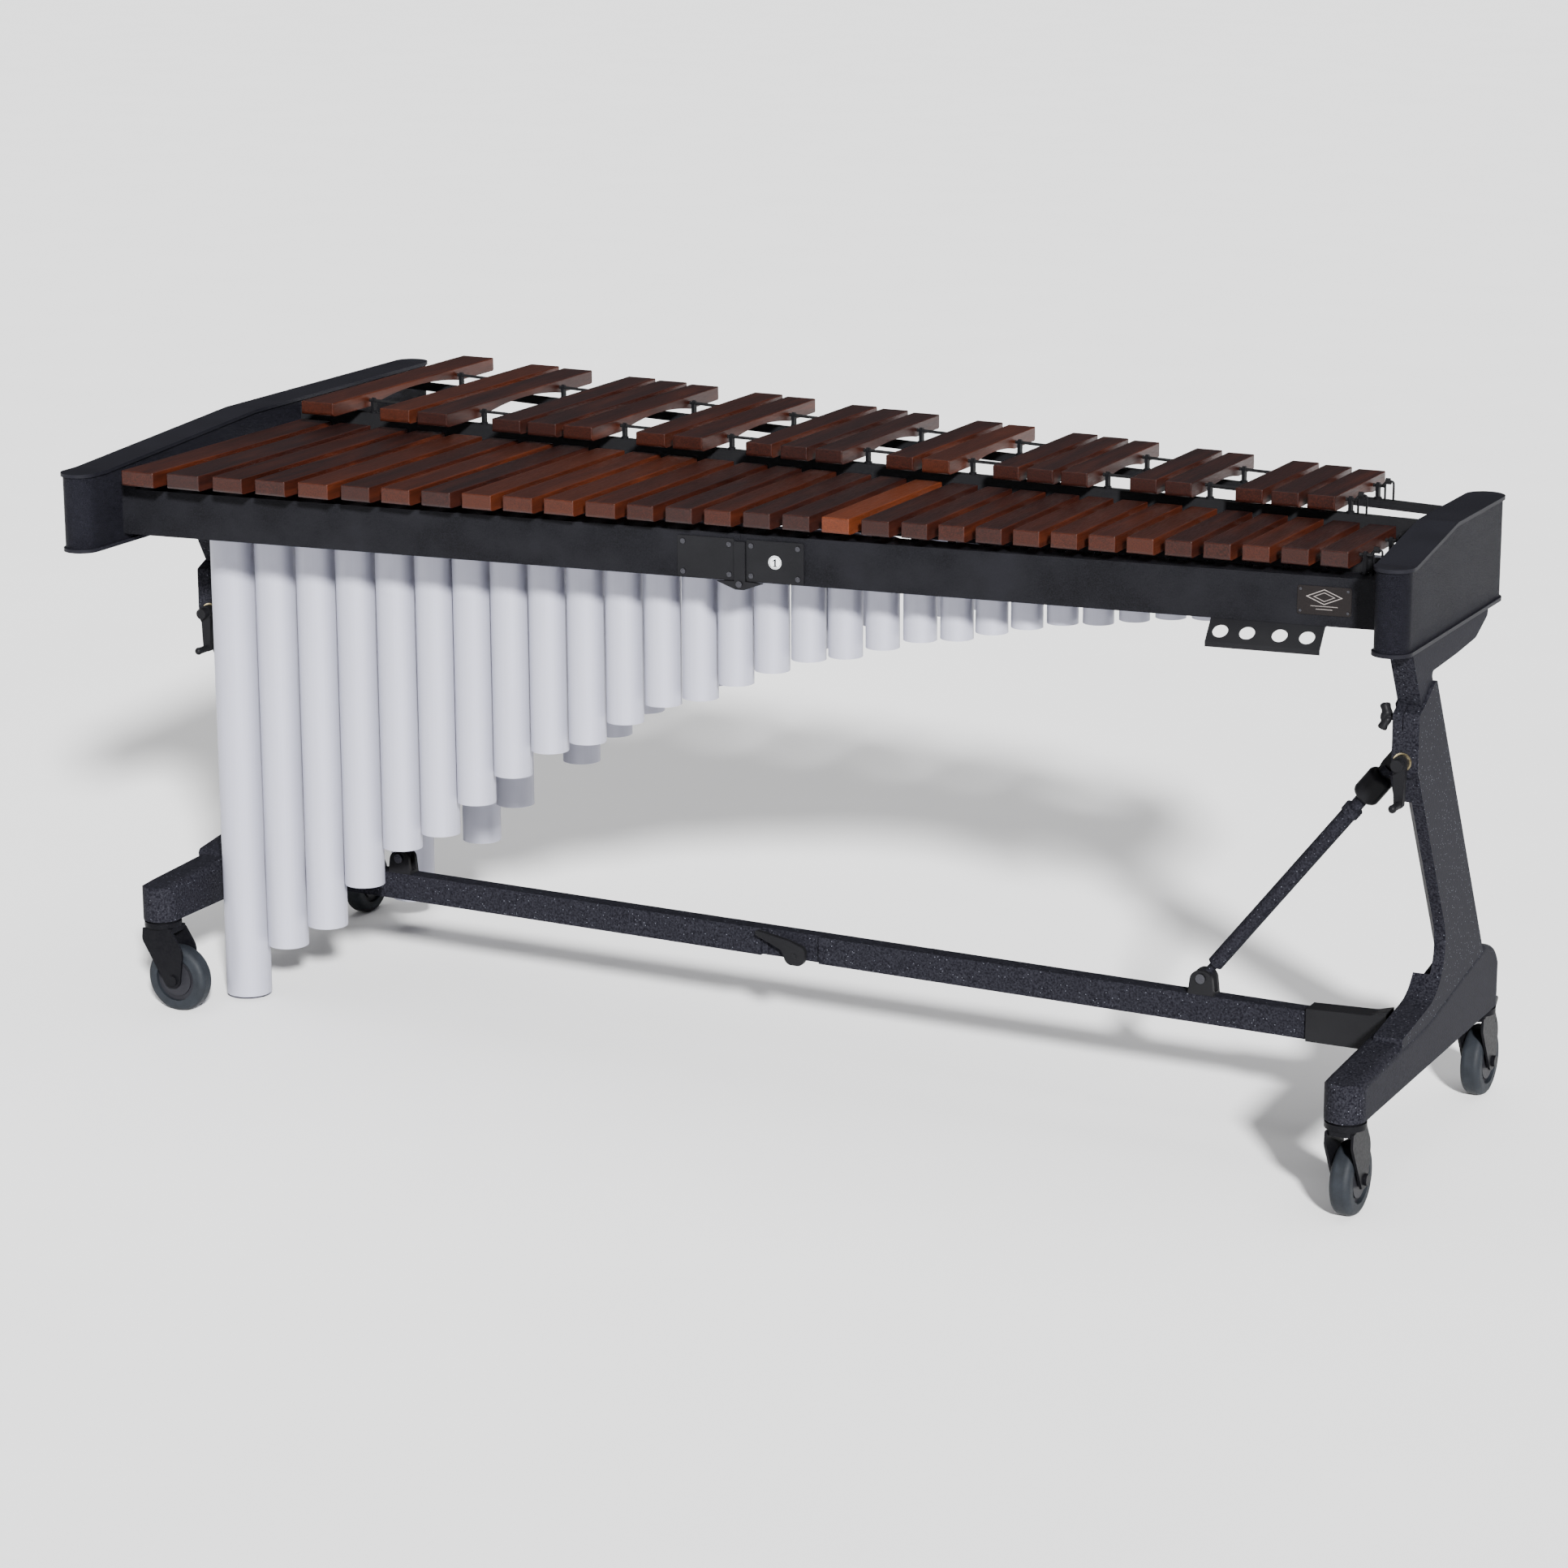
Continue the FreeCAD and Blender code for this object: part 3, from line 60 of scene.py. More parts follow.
class Finish:
    """A small wrapper that builds one procedural material."""

    def __init__(self, name):
        self.material = bpy.data.materials.new(name)
        self.material.use_nodes = True
        self.tree = self.material.node_tree
        self.shader = self.tree.nodes["Principled BSDF"]
        self.coords = self.tree.nodes.new("ShaderNodeTexCoord").outputs["Object"]

    def link(self, output, socket):
        self.tree.links.new(output, socket)

    def stretched(self, scale, vector=None):
        node = self.tree.nodes.new("ShaderNodeMapping")
        self.link(vector or self.coords, node.inputs["Vector"])
        node.inputs["Scale"].default_value = scale
        return node.outputs["Vector"]

    def noise(self, scale, detail=3, rough=0.5, vector=None, distortion=0.0):
        node = self.tree.nodes.new("ShaderNodeTexNoise")
        self.link(vector or self.coords, node.inputs["Vector"])
        node.inputs["Scale"].default_value = scale
        node.inputs["Detail"].default_value = detail
        node.inputs["Roughness"].default_value = rough
        node.inputs["Distortion"].default_value = distortion
        return node.outputs["Fac"]

    def cells(self, scale, feature="F1", colour=False):
        node = self.tree.nodes.new("ShaderNodeTexVoronoi")
        node.feature = feature
        self.link(self.coords, node.inputs["Vector"])
        node.inputs["Scale"].default_value = scale
        return node.outputs["Color" if colour else "Distance"]

    def waves(self, scale, distortion, detail, direction):
        node = self.tree.nodes.new("ShaderNodeTexWave")
        node.bands_direction = direction
        self.link(self.coords, node.inputs["Vector"])
        node.inputs["Scale"].default_value = scale
        node.inputs["Distortion"].default_value = distortion
        node.inputs["Detail"].default_value = detail
        return node.outputs["Fac"]

    def ramp(self, factor, stops):
        node = self.tree.nodes.new("ShaderNodeValToRGB")
        self.link(factor, node.inputs["Fac"])
        elements = node.color_ramp.elements
        while len(elements) < len(stops):
            elements.new(0.5)
        for element, (position, colour) in zip(elements, stops):
            element.position = position
            element.color = (*colour, 1)
        return node.outputs["Color"]

    def grey(self, factor, low, high, start=0.0, end=1.0):
        node = self.tree.nodes.new("ShaderNodeMapRange")
        self.link(factor, node.inputs["Value"])
        node.inputs["From Min"].default_value = start
        node.inputs["From Max"].default_value = end
        node.inputs["To Min"].default_value = low
        node.inputs["To Max"].default_value = high
        return node.outputs["Result"]

    def math(self, kind, a, b=0.5):
        node = self.tree.nodes.new("ShaderNodeMath")
        node.operation = kind
        for socket, value in zip(node.inputs, (a, b)):
            if hasattr(value, "is_output"):
                self.link(value, socket)
            else:
                socket.default_value = value
        return node.outputs[0]

    def mix(self, factor, a, b, kind="MIX"):
        node = self.tree.nodes.new("ShaderNodeMix")
        node.data_type = "RGBA"
        node.blend_type = kind
        for socket, value in ((node.inputs[0], factor), (node.inputs[6], a), (node.inputs[7], b)):
            if hasattr(value, "is_output"):
                self.link(value, socket)
            elif isinstance(value, (int, float)):
                socket.default_value = value
            else:
                socket.default_value = (*value, 1)
        return node.outputs[2]

    def attribute(self, name):
        node = self.tree.nodes.new("ShaderNodeAttribute")
        node.attribute_name = name
        return node

    def facing(self, axis):
        """How far the surface faces along one of the frame's axes."""
        normal = self.tree.nodes.new("ShaderNodeNewGeometry").outputs["Normal"]
        split = self.tree.nodes.new("ShaderNodeSeparateXYZ")
        self.link(normal, split.inputs[0])
        return split.outputs["XYZ".index(axis)]

    def colour(self, value):
        self.link(value, self.shader.inputs["Base Color"])

    def rough(self, value):
        self.link(value, self.shader.inputs["Roughness"])

    def plain(self, **values):
        """Set sockets that are the same all over the surface."""
        for name, value in values.items():
            socket = name.replace("_", " ").title().replace("Ior", "IOR")
            self.shader.inputs[socket].default_value = value

    def bump(self, height, strength, distance):
        node = self.tree.nodes.new("ShaderNodeBump")
        self.link(height, node.inputs["Height"])
        node.inputs["Strength"].default_value = strength
        node.inputs["Distance"].default_value = distance
        self.link(node.outputs["Normal"], self.shader.inputs["Normal"])


RAIL_SLOPE = 0.098                   # the front rail goes back this far for each unit to the treble


def rosewood():
    """Timber whose grain and tone differ from bar to bar, by the attributes that toned_copy writes."""
    f = Finish("rosewood")
    tone = f.attribute("tone").outputs["Fac"]
    moved = f.tree.nodes.new("ShaderNodeVectorMath")
    f.link(f.coords, moved.inputs[0])
    f.link(f.attribute("shift").outputs["Vector"], moved.inputs[1])
    place = moved.outputs[0]
    broad = f.noise(1.0, 4, 0.55, f.stretched((70, 5, 70), place), 0.6)
    fine = f.noise(1.0, 5, 0.7, f.stretched((620, 22, 620), place))
    pores = f.noise(1.0, 2, 0.5, f.stretched((1500, 60, 1500), place))
    top = f.ramp(broad, [(0.28, (0.0065, 0.0019, 0.0018)), (0.52, (0.016, 0.0038, 0.0029)),
                         (0.75, (0.038, 0.0088, 0.0042))])
    # The side ramp goes on faces that face along X and is paler and warmer than the top ramp: light painted
    # onto the bars' sides.
    side = f.ramp(broad, [(0.25, (0.010, 0.0024, 0.0016)), (0.55, (0.032, 0.0066, 0.0030)),
                          (0.8, (0.072, 0.0160, 0.0055))])
    end = f.ramp(fine, [(0.34, (0.0045, 0.0013, 0.0010)), (0.64, (0.032, 0.0068, 0.0036))])
    painted_light_sides = f.grey(f.math("ABSOLUTE", f.facing("X")), 0, 1, 0.25, 0.75)
    endways = f.grey(f.math("ABSOLUTE", f.facing("Y")), 0, 1, 0.5, 0.85)
    body = f.mix(painted_light_sides, top, side)
    body = f.mix(endways, body, end)
    warm = f.mix(f.grey(tone, 0, 1, 0.5, 1.0), body, (0.18, 0.040, 0.011))
    body = f.mix(f.grey(tone, 0.0, 0.5, 0.5, 1.0), body, warm)
    body = f.mix(f.grey(tone, 0.55, 0.0, 0.0, 0.5), body, (0.012, 0.006, 0.006))
    dark_lines = f.ramp(f.grey(fine, 0.62, 1.0, 0.35, 0.6), [(0, (0, 0, 0)), (1, (1, 1, 1))])
    body = f.mix(1.0, body, dark_lines, "MULTIPLY")
    f.colour(body)
    f.rough(f.grey(pores, 0.30, 0.46, 0.3, 0.7))
    f.plain(specular_ior_level=0.22)
    f.bump(f.math("ADD", f.math("MULTIPLY", fine, 0.7), f.math("MULTIPLY", pores, 0.5)), 0.18, 0.0004)
    return f.material


DIMPLES_PER_METRE = 420
FLAKE_SHARE = 0.05                   # of the dimples, these hold a bright flake with a painted glint


def hammertone(name, base, bright):
    """Hammered paint with dimples and a few bright flakes, whose glints are painted into the colour."""
    f = Finish(name)
    mottle = f.noise(330, 3, 0.65)
    dimples = f.cells(DIMPLES_PER_METRE)
    pick = f.tree.nodes.new("ShaderNodeSeparateColor")
    f.link(f.cells(DIMPLES_PER_METRE, colour=True), pick.inputs[0])
    near = f.grey(dimples, 1, 0, 0.16, 0.34)
    chosen = f.math("GREATER_THAN", pick.outputs[0], 1 - FLAKE_SHARE)
    # Each flake's glint is painted into the colour as a bright grey dot near its dimple's middle.
    painted_flake_glint = f.math("MULTIPLY", f.math("MULTIPLY", near, chosen), 0.55)
    f.colour(f.mix(painted_flake_glint, f.ramp(mottle, [(0.36, base), (0.66, bright)]), (0.20, 0.21, 0.25)))
    f.rough(f.grey(mottle, 0.42, 0.62, 0.3, 0.7))
    f.plain(specular_ior_level=0.018)
    height = f.math("ADD", f.math("MULTIPLY", dimples, 0.7), f.math("MULTIPLY", mottle, 0.6))
    f.bump(height, 0.30, 0.0007)
    return f.material


def leathered(name, low, high, scale, strength, rough_low, rough_high):
    """Black vinyl with the creases of leather."""
    f = Finish(name)
    skin = f.cells(scale, feature="DISTANCE_TO_EDGE")
    fine = f.noise(scale * 2.4, 3, 0.6)
    wear = f.noise(9, 3, 0.5)
    skin_colour = f.ramp(fine, [(0.38, low), (0.68, high)])
    f.colour(f.mix(f.grey(wear, 0, 0.25, 0.4, 0.7), skin_colour, high))
    f.rough(f.grey(fine, rough_low, rough_high, 0.3, 0.7))
    f.plain(specular_ior_level=0.022)
    creases = f.grey(skin, 0, 1, 0.0, 0.14)
    f.bump(f.math("ADD", creases, f.math("MULTIPLY", fine, 0.8)), strength, 0.0012)
    return f.material


def grained(name, low, high, scale, rough_low, rough_high, strength=0.15, depth=0.0003, gloss=0.06):
    """Plastic or paint with a fine, even grain."""
    f = Finish(name)
    fine = f.noise(scale, 4, 0.6)
    broad = f.noise(14, 2, 0.5)
    f.colour(f.mix(f.grey(broad, 0, 1, 0.35, 0.7), f.ramp(fine, [(0.3, low), (0.7, high)]), high))
    f.rough(f.grey(fine, rough_low, rough_high, 0.3, 0.7))
    f.plain(specular_ior_level=gloss)
    f.bump(fine, strength, depth)
    return f.material


def drawn_tube():
    """Satin aluminium with faint lines along the tube."""
    f = Finish("tube_aluminium")
    lines = f.noise(1.0, 3, 0.6, f.stretched((700, 700, 5)))
    cloud = f.noise(1.0, 3, 0.5, f.stretched((20, 20, 3)))
    grain = f.noise(1400, 2, 0.5)
    both = f.math("ADD", f.math("MULTIPLY", lines, 0.5), f.math("MULTIPLY", cloud, 0.5))
    f.colour(f.ramp(both, [(0.3, (0.335, 0.338, 0.405)), (0.7, (0.365, 0.368, 0.440))]))
    f.rough(f.grey(grain, 0.40, 0.47, 0.3, 0.7))
    f.plain(metallic=0.25, specular_ior_level=0.3)
    f.bump(grain, 0.05, 0.0001)
    return f.material


def metal(name, low, high, rough_low, rough_high):
    """Bare metal with a fine grain."""
    f = Finish(name)
    fine = f.noise(900, 3, 0.6)
    f.colour(f.ramp(fine, [(0.3, low), (0.7, high)]))
    f.rough(f.grey(fine, rough_low, rough_high, 0.3, 0.7))
    f.plain(metallic=1.0)
    f.bump(fine, 0.06, 0.0002)
    return f.material


def braid():
    """The braided cord that carries the bars."""
    f = Finish("bar_cord")
    strands = f.waves(900, 1.5, 1, "DIAGONAL")
    fuzz = f.noise(1800, 2, 0.5)
    f.colour(f.ramp(strands, [(0.2, (0.003, 0.003, 0.0035)), (0.8, (0.012, 0.012, 0.013))]))
    f.rough(f.grey(fuzz, 0.6, 0.85, 0.3, 0.7))
    f.plain(specular_ior_level=0.1)
    f.bump(strands, 0.5, 0.0005)
    return f.material


def tread():
    """Dusty dark rubber."""
    f = Finish("wheel_rubber")
    dust = f.noise(60, 4, 0.6)
    fine = f.noise(900, 2, 0.5)
    f.colour(f.ramp(dust, [(0.3, (0.006, 0.0075, 0.010)), (0.7, (0.011, 0.0135, 0.0175))]))
    f.rough(f.grey(fine, 0.55, 0.75, 0.3, 0.7))
    f.plain(specular_ior_level=0.2)
    f.bump(fine, 0.12, 0.0003)
    return f.material


LOZENGES = ((0.0098, 0.00055), (0.0058, 0.0004))     # (half height, half the line's width)
LOZENGE_RISE = 0.005                 # above the plate's middle
LOZENGE_SHAPE = 0.42                 # its height over its width
PLAIN_LINES = ((-0.0075, 0.018), (-0.0115, 0.011))   # (height from the middle, half length)
PLAIN_LINE_WIDTH = 0.00035           # half of it


def etched_plate():
    """A black plate with a thin silver lozenge and two plain lines: no letters."""
    f = Finish("name_plate_metal")
    low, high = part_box("name_plate")
    middle_x = round((low[0] + high[0]) / 2, 3)
    middle_z = round((low[2] + high[2]) / 2, 3)
    turned = 1 / math.cos(math.atan(RAIL_SLOPE))
    split = f.tree.nodes.new("ShaderNodeSeparateXYZ")
    f.link(f.coords, split.inputs[0])

    def within(value, centre, reach):
        distance = f.math("ABSOLUTE", f.math("SUBTRACT", value, centre))
        return f.math("LESS_THAN", distance, reach)

    right = f.math("MULTIPLY", f.math("SUBTRACT", split.outputs[0], middle_x), turned)
    across = f.math("ABSOLUTE", right)
    height = f.math("SUBTRACT", split.outputs[2], middle_z)
    up = f.math("ABSOLUTE", f.math("SUBTRACT", height, LOZENGE_RISE))
    lozenge = f.math("ADD", f.math("MULTIPLY", across, LOZENGE_SHAPE), up)
    rings = [within(lozenge, size, width) for size, width in LOZENGES]
    lines = [f.math("MULTIPLY", within(height, level, PLAIN_LINE_WIDTH), f.math("LESS_THAN", across, reach))
             for level, reach in PLAIN_LINES]
    marks = f.math("MAXIMUM", f.math("MAXIMUM", *rings), f.math("MAXIMUM", *lines))
    fine = f.noise(900, 3, 0.6)
    f.colour(f.mix(marks, f.ramp(fine, [(0.3, (0.004, 0.003, 0.003)), (0.7, (0.008, 0.006, 0.006))]),
                   (0.20, 0.18, 0.17)))
    f.rough(f.grey(fine, 0.3, 0.42, 0.3, 0.7))
    f.plain(specular_ior_level=0.15)
    f.bump(fine, 0.05, 0.0001)
    return f.material


# One material for each slot of the record, and two more for the label.
LOOKS = {
    "rosewood": rosewood(),
    "rail_paint": grained("rail_paint", (0.0013, 0.0013, 0.0018), (0.0078, 0.0078, 0.0098),
                          620, 0.42, 0.60, 0.9, 0.0008),
    "inner_rail_wood": grained("inner_rail_wood", (0.006, 0.006, 0.007), (0.010, 0.010, 0.011),
                               400, 0.5, 0.7),
    "black_metal": grained("black_metal", (0.005, 0.005, 0.006), (0.009, 0.009, 0.010),
                           900, 0.34, 0.5, 0.2),
    "name_plate_metal": etched_plate(),
    "screw_steel": metal("screw_steel", (0.035, 0.035, 0.04), (0.08, 0.08, 0.09), 0.25, 0.4),
    "post_plastic": grained("post_plastic", (0.003, 0.003, 0.0035), (0.006, 0.006, 0.007),
                            1200, 0.4, 0.55, 0.12),
    "bar_cord": braid(),
    "tube_aluminium": drawn_tube(),
    "strip_aluminium": metal("strip_aluminium", (0.20, 0.20, 0.22), (0.3, 0.3, 0.33), 0.4, 0.55),
    "panel_vinyl": leathered("panel_vinyl", (0.0015, 0.0015, 0.0025), (0.020, 0.020, 0.027),
                             480, 1.0, 0.30, 0.50),
    "panel_cap_plastic": grained("panel_cap_plastic", (0.005, 0.005, 0.007), (0.009, 0.009, 0.012),
                                 700, 0.38, 0.52, 0.2),
    "leg_hammertone": hammertone("leg_hammertone", (0.004, 0.004, 0.006), (0.019, 0.019, 0.024)),
    "frame_paint": hammertone("frame_paint", (0.005, 0.005, 0.007), (0.017, 0.017, 0.022)),
    "washer_brass": metal("washer_brass", (0.50, 0.40, 0.22), (0.62, 0.52, 0.30), 0.25, 0.4),
    "black_plastic": grained("black_plastic", (0.004, 0.004, 0.005), (0.008, 0.008, 0.009),
                             1000, 0.32, 0.46, 0.12),
    "fork_paint": grained("fork_paint", (0.002, 0.002, 0.003), (0.005, 0.005, 0.006),
                          300, 0.34, 0.46, 0.05, gloss=0.05),
    "hub_plastic": grained("hub_plastic", (0.009, 0.009, 0.011), (0.016, 0.016, 0.019), 700, 0.35, 0.5),
    "wheel_rubber": tread(),
    "label_white": grained("label_white", (0.55, 0.56, 0.58), (0.62, 0.63, 0.65),
                           900, 0.4, 0.55, 0.05, 0.0001),
    "label_ink": grained("label_ink", (0.002, 0.002, 0.003), (0.004, 0.004, 0.005),
                         900, 0.4, 0.55, 0.05, 0.0001),
}


def dress(piece, slot):
    """Give a piece its material."""
    piece.data.materials.clear()
    piece.data.materials.append(LOOKS[slot])


def soften(piece, width, clamp=True):
    """Round a piece's sharp edges a little."""
    edge = piece.modifiers.new("rounded", "BEVEL")
    edge.use_clamp_overlap = clamp
    edge.width = width
    edge.segments = 3
    edge.limit_method = "ANGLE"
    edge.angle_limit = math.radians(40)
    edge.harden_normals = True


FOOT_ROUNDING = 0.006
LEG_ROUNDING = 0.002
BAR_ROUNDING = 0.0016

for name, piece in NODES.items():
    piece.data.materials.clear()
    piece.data.materials.append(LOOKS[SLOTS[name]])
for name in ("lower_leg_low", "lower_leg_high"):
    soften(NODES[name], FOOT_ROUNDING, clamp=False)      # clamped, the cast feet stay sharp
for name in ("upper_leg_low", "upper_leg_high", "leg_clamp_low", "leg_clamp_high", "stretcher_sockets"):
    soften(NODES[name], LEG_ROUNDING)


# ------------------------------------------------------------------ bars

BASS_EDGE = -893.5                       # in mm, as are the natural bars' widths and gaps, from the bass up
WIDTHS = [54, 49.5, 46.7, 41, 38.3]
GAPS = [17.7, 16.8, 14.4, 15, 13.2]
COUNTS = [2, 3, 7, 7, 12]


def bar_spans():
    """Each natural bar's left and right edge, as in the CAD."""
    spans = []
    left = BASS_EDGE
    for width, gap, count in zip(WIDTHS, GAPS, COUNTS):
        for _ in range(count):
            spans.append((left / 1000, (left + width) / 1000))
            left += width + gap
    return spans


SPANS = bar_spans()
RAISED = [index for index in range(30) if "ABCDEFG"[index % 7] not in "BE"]
NATURAL_X = [(a + b) / 2 for a, b in SPANS]
RAISED_X = [(SPANS[i][1] + SPANS[i + 1][0]) / 2 for i in RAISED]


def toned_copy(node, centres, tones):
    """Show a copy of a bar node in its place, whose points know their bar's tone and grain shift."""
    mesh = NODES[node].data.copy()
    piece = bpy.data.objects.new(node.replace("bars", "bar_set"), mesh)
    bpy.context.scene.collection.objects.link(piece)
    tone = mesh.attributes.new("tone", "FLOAT", "POINT")
    shift = mesh.attributes.new("shift", "FLOAT_VECTOR", "POINT")
    for number, vertex in enumerate(mesh.vertices):
        index = min(range(len(centres)), key=lambda i: abs(centres[i] - vertex.co.x))
        tone.data[number].value = tones[index]
        shift.data[number].vector = (0, 0.37 * index, 0.11 * index)
    soften(piece, BAR_ROUNDING, clamp=False)
    dress(piece, "rosewood")
    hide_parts(node)
    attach(piece, "keyboard")


# A tone of 0.5 is the plain timber, 0 the darkest and 1 the palest. A few bars stand out in the photo.
DARKER, PALER = -0.38, 0.24          # how far a bar's tone strays from plain
dice = random.Random(52)
natural_tones = [0.5 + dice.uniform(DARKER, PALER) for _ in NATURAL_X]
raised_tones = [0.5 + dice.uniform(DARKER, PALER) for _ in RAISED_X]
for index, value in ((17, 0.92), (10, 0.74), (11, 0.66), (9, 0.70), (14, 0.66), (0, 0.62), (20, 0.60)):
    natural_tones[index] = value
for index, value in ((1, 0.72), (12, 0.72), (0, 0.66), (15, 0.3)):
    raised_tones[index] = value
for part in ("low", "middle", "high"):
    toned_copy("natural_bars_" + part, NATURAL_X, natural_tones)
    toned_copy("accidental_bars_" + part, RAISED_X, raised_tones)


# ------------------------------------------------------------------ small pieces

def place(plan, name, slot, body, replaced=None):
    """Turn a bmesh into a dressed piece that rides on a body."""
    mesh = bpy.data.meshes.new(name)
    plan.normal_update()
    plan.to_mesh(mesh)
    plan.free()
    piece = bpy.data.objects.new(name, mesh)
    bpy.context.scene.collection.objects.link(piece)
    for face in mesh.polygons:
        face.use_smooth = True
    dress(piece, slot)
    if replaced:
        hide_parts(replaced)
    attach(piece, body)


def swept(plan, points, sizes, sides=12, flat=1.0, up=Vector((0, 0, 1))):
    """Add a round or oval section carried along a line of points, closed at both ends."""
    rings = []
    for index, point in enumerate(points):
        before = points[max(index - 1, 0)]
        after = points[min(index + 1, len(points) - 1)]
        along = (Vector(after) - Vector(before)).normalized()
        across = along.cross(up)
        if across.length < 0.05:
            across = along.cross(Vector((1, 0, 0)))
        across.normalize()
        other = along.cross(across)
        size = sizes[index] if isinstance(sizes, (list, tuple)) else sizes
        ring = []
        for number in range(sides):
            angle = 2 * math.pi * number / sides
            offset = across * math.cos(angle) * size + other * math.sin(angle) * size * flat
            ring.append(plan.verts.new(Vector(point) + offset))
        rings.append(ring)
    for one, two in zip(rings, rings[1:]):
        for number in range(sides):
            after = (number + 1) % sides
            plan.faces.new((one[number], one[after], two[after], two[number]))
    plan.faces.new(list(reversed(rings[0])))
    plan.faces.new(rings[-1])


def rounded_path(corners, radius, steps=5):
    """A path through the corners with each inner corner turned into an arc."""
    path = [Vector(corners[0])]
    for before, corner, after in zip(corners, corners[1:], corners[2:]):
        before, corner, after = Vector(before), Vector(corner), Vector(after)
        start = corner + (before - corner).normalized() * radius
        end = corner + (after - corner).normalized() * radius
        for step in range(steps + 1):
            t = step / steps
            path.append(start * (1 - t) ** 2 + corner * 2 * t * (1 - t) + end * t ** 2)
    path.append(Vector(corners[-1]))
    return path


STAPLE_WIRE = 0.0015                 # radius
STAPLE_SPAN = 0.012
STAPLE_BEND = 0.004
STAPLE_RISE = 0.0075                 # above the cord's middle
STAPLE_START = 0.0005                # past the cord's end
COIL_RADIUS = 0.0033
COIL_CORD = 0.0013                   # radius
COIL_TURNS = 3
COIL_STEPS = 16                      # points for each turn
COIL_STEP = 0.00014                  # along the staple, from point to point
COIL_START = 0.001                   # from the staple's left leg
COIL_DROP = 0.0002                   # below the staple's middle line
TIP_REACH = 0.08                     # how much of a cord's treble end is looked at
TIP_FACE = 0.002                     # how much of that is its very end
POST_REACH = 0.05                    # a post this close to a cord's end gives the staple's foot


def staple_and_tie(staples, ties, spot, foot):
    """A wire staple over a cord's end at spot, with the cord wound round it."""
    top = spot.z + STAPLE_RISE
    left = spot.x + STAPLE_START
    right = left + STAPLE_SPAN
    corners = [(left, spot.y, foot), (left, spot.y, top), (right, spot.y, top), (right, spot.y, foot)]
    swept(staples, rounded_path(corners, STAPLE_BEND), STAPLE_WIRE)
    coil = []
    for step in range(COIL_TURNS * COIL_STEPS + 1):
        turn = step / COIL_STEPS * 2 * math.pi
        coil.append((left + COIL_START + step * COIL_STEP, spot.y + COIL_RADIUS * math.cos(turn),
                     top - COIL_DROP + COIL_RADIUS * math.sin(turn)))
    swept(ties, coil, COIL_CORD, sides=8, up=Vector((1, 0, 0)))
    swept(ties, [(spot.x - 0.003, spot.y, spot.z), (spot.x - 0.0006, spot.y - 0.0008, spot.z + 0.003),
                 (spot.x + 0.0012, spot.y - 0.002, top - 0.002)], [0.0021, 0.0019, 0.0015], sides=10)


def cord_ends():
    """Wire staples at the treble end, with each cord's end hooked and tied over its staple."""
    cords = [v.co.copy() for v in NODES["bar_cords"].data.vertices]
    posts = [v.co.copy() for v in NODES["bar_posts"].data.vertices]
    between_rows = (min(p.z for p in cords) + max(p.z for p in cords)) / 2
    staples = bmesh.new()
    ties = bmesh.new()
    for row in (lambda p: p.z < between_rows, lambda p: p.z > between_rows):
        line = [p for p in cords if row(p)]
        reach = max(p.x for p in line)
        tips = [p for p in line if p.x > reach - TIP_REACH]
        middle = (min(p.y for p in tips) + max(p.y for p in tips)) / 2
        for side in (lambda p: p.y < middle, lambda p: p.y > middle):
            end = [p for p in tips if side(p)]
            far = max(p.x for p in end)
            last = [p for p in end if p.x > far - TIP_FACE]
            spot = sum(last, Vector()) / len(last)
            foot = min(p.z for p in posts if (p.xy - spot.xy).length < POST_REACH)
            staple_and_tie(staples, ties, spot, foot)
    place(staples, "cord_end_staples", "black_metal", "keyboard")
    place(ties, "cord_end_ties", "bar_cord", "keyboard")


# Distance along the axis and radius, from the neck in the leg to the boss.
NECK = [(-0.0205, 0.0035), (-0.012, 0.0036), (-0.004, 0.0042), (0.002, 0.0072), (0.007, 0.0070),
        (0.0085, 0.0052)]
# Distance along the axis, distance from the axis and radius, from the boss to the wing's tip.
WING = [(0.0005, 0.0, 0.0078), (0.0015, 0.005, 0.0072), (0.0035, 0.0095, 0.0066),
        (0.0050, 0.0130, 0.0074), (0.0060, 0.0152, 0.0068), (0.0064, 0.0163, 0.0042)]
WING_TWIST = 0.35                    # a wing leans this far back for each unit up


def wing_knobs():
    """The height knobs: a round boss on a short neck, with two swept wings."""
    for side, inward in (("low", 1), ("high", -1)):
        centre = Vector(JOINTS["height_knob_turn_" + side]["pos_m"])
        plan = bmesh.new()

        def at(along, rise, depth=0.0):
            return centre + Vector((inward * along, depth, rise))

        swept(plan, [at(along, 0) for along, radius in NECK], [radius for along, radius in NECK], sides=20)
        for turn in (1, -1):
            line = [at(along, turn * rise, turn * rise * WING_TWIST) for along, rise, radius in WING]
            swept(plan, line, [radius for along, rise, radius in WING], sides=16, flat=0.85)
        place(plan, "height_wing_knob_" + side, "black_plastic", "knob_" + side, "height_knob_" + side)


RAIL_CORNER = Vector((-0.8935, -0.3811, 0))      # a point on the rail's front, at the bass bar's edge
LABEL_X = 0.0775
LABEL_Z = 0.774
JOINT_PLATE = 0.0026                 # how far the joint plate stands off the rail
LABEL_STEPS = 48
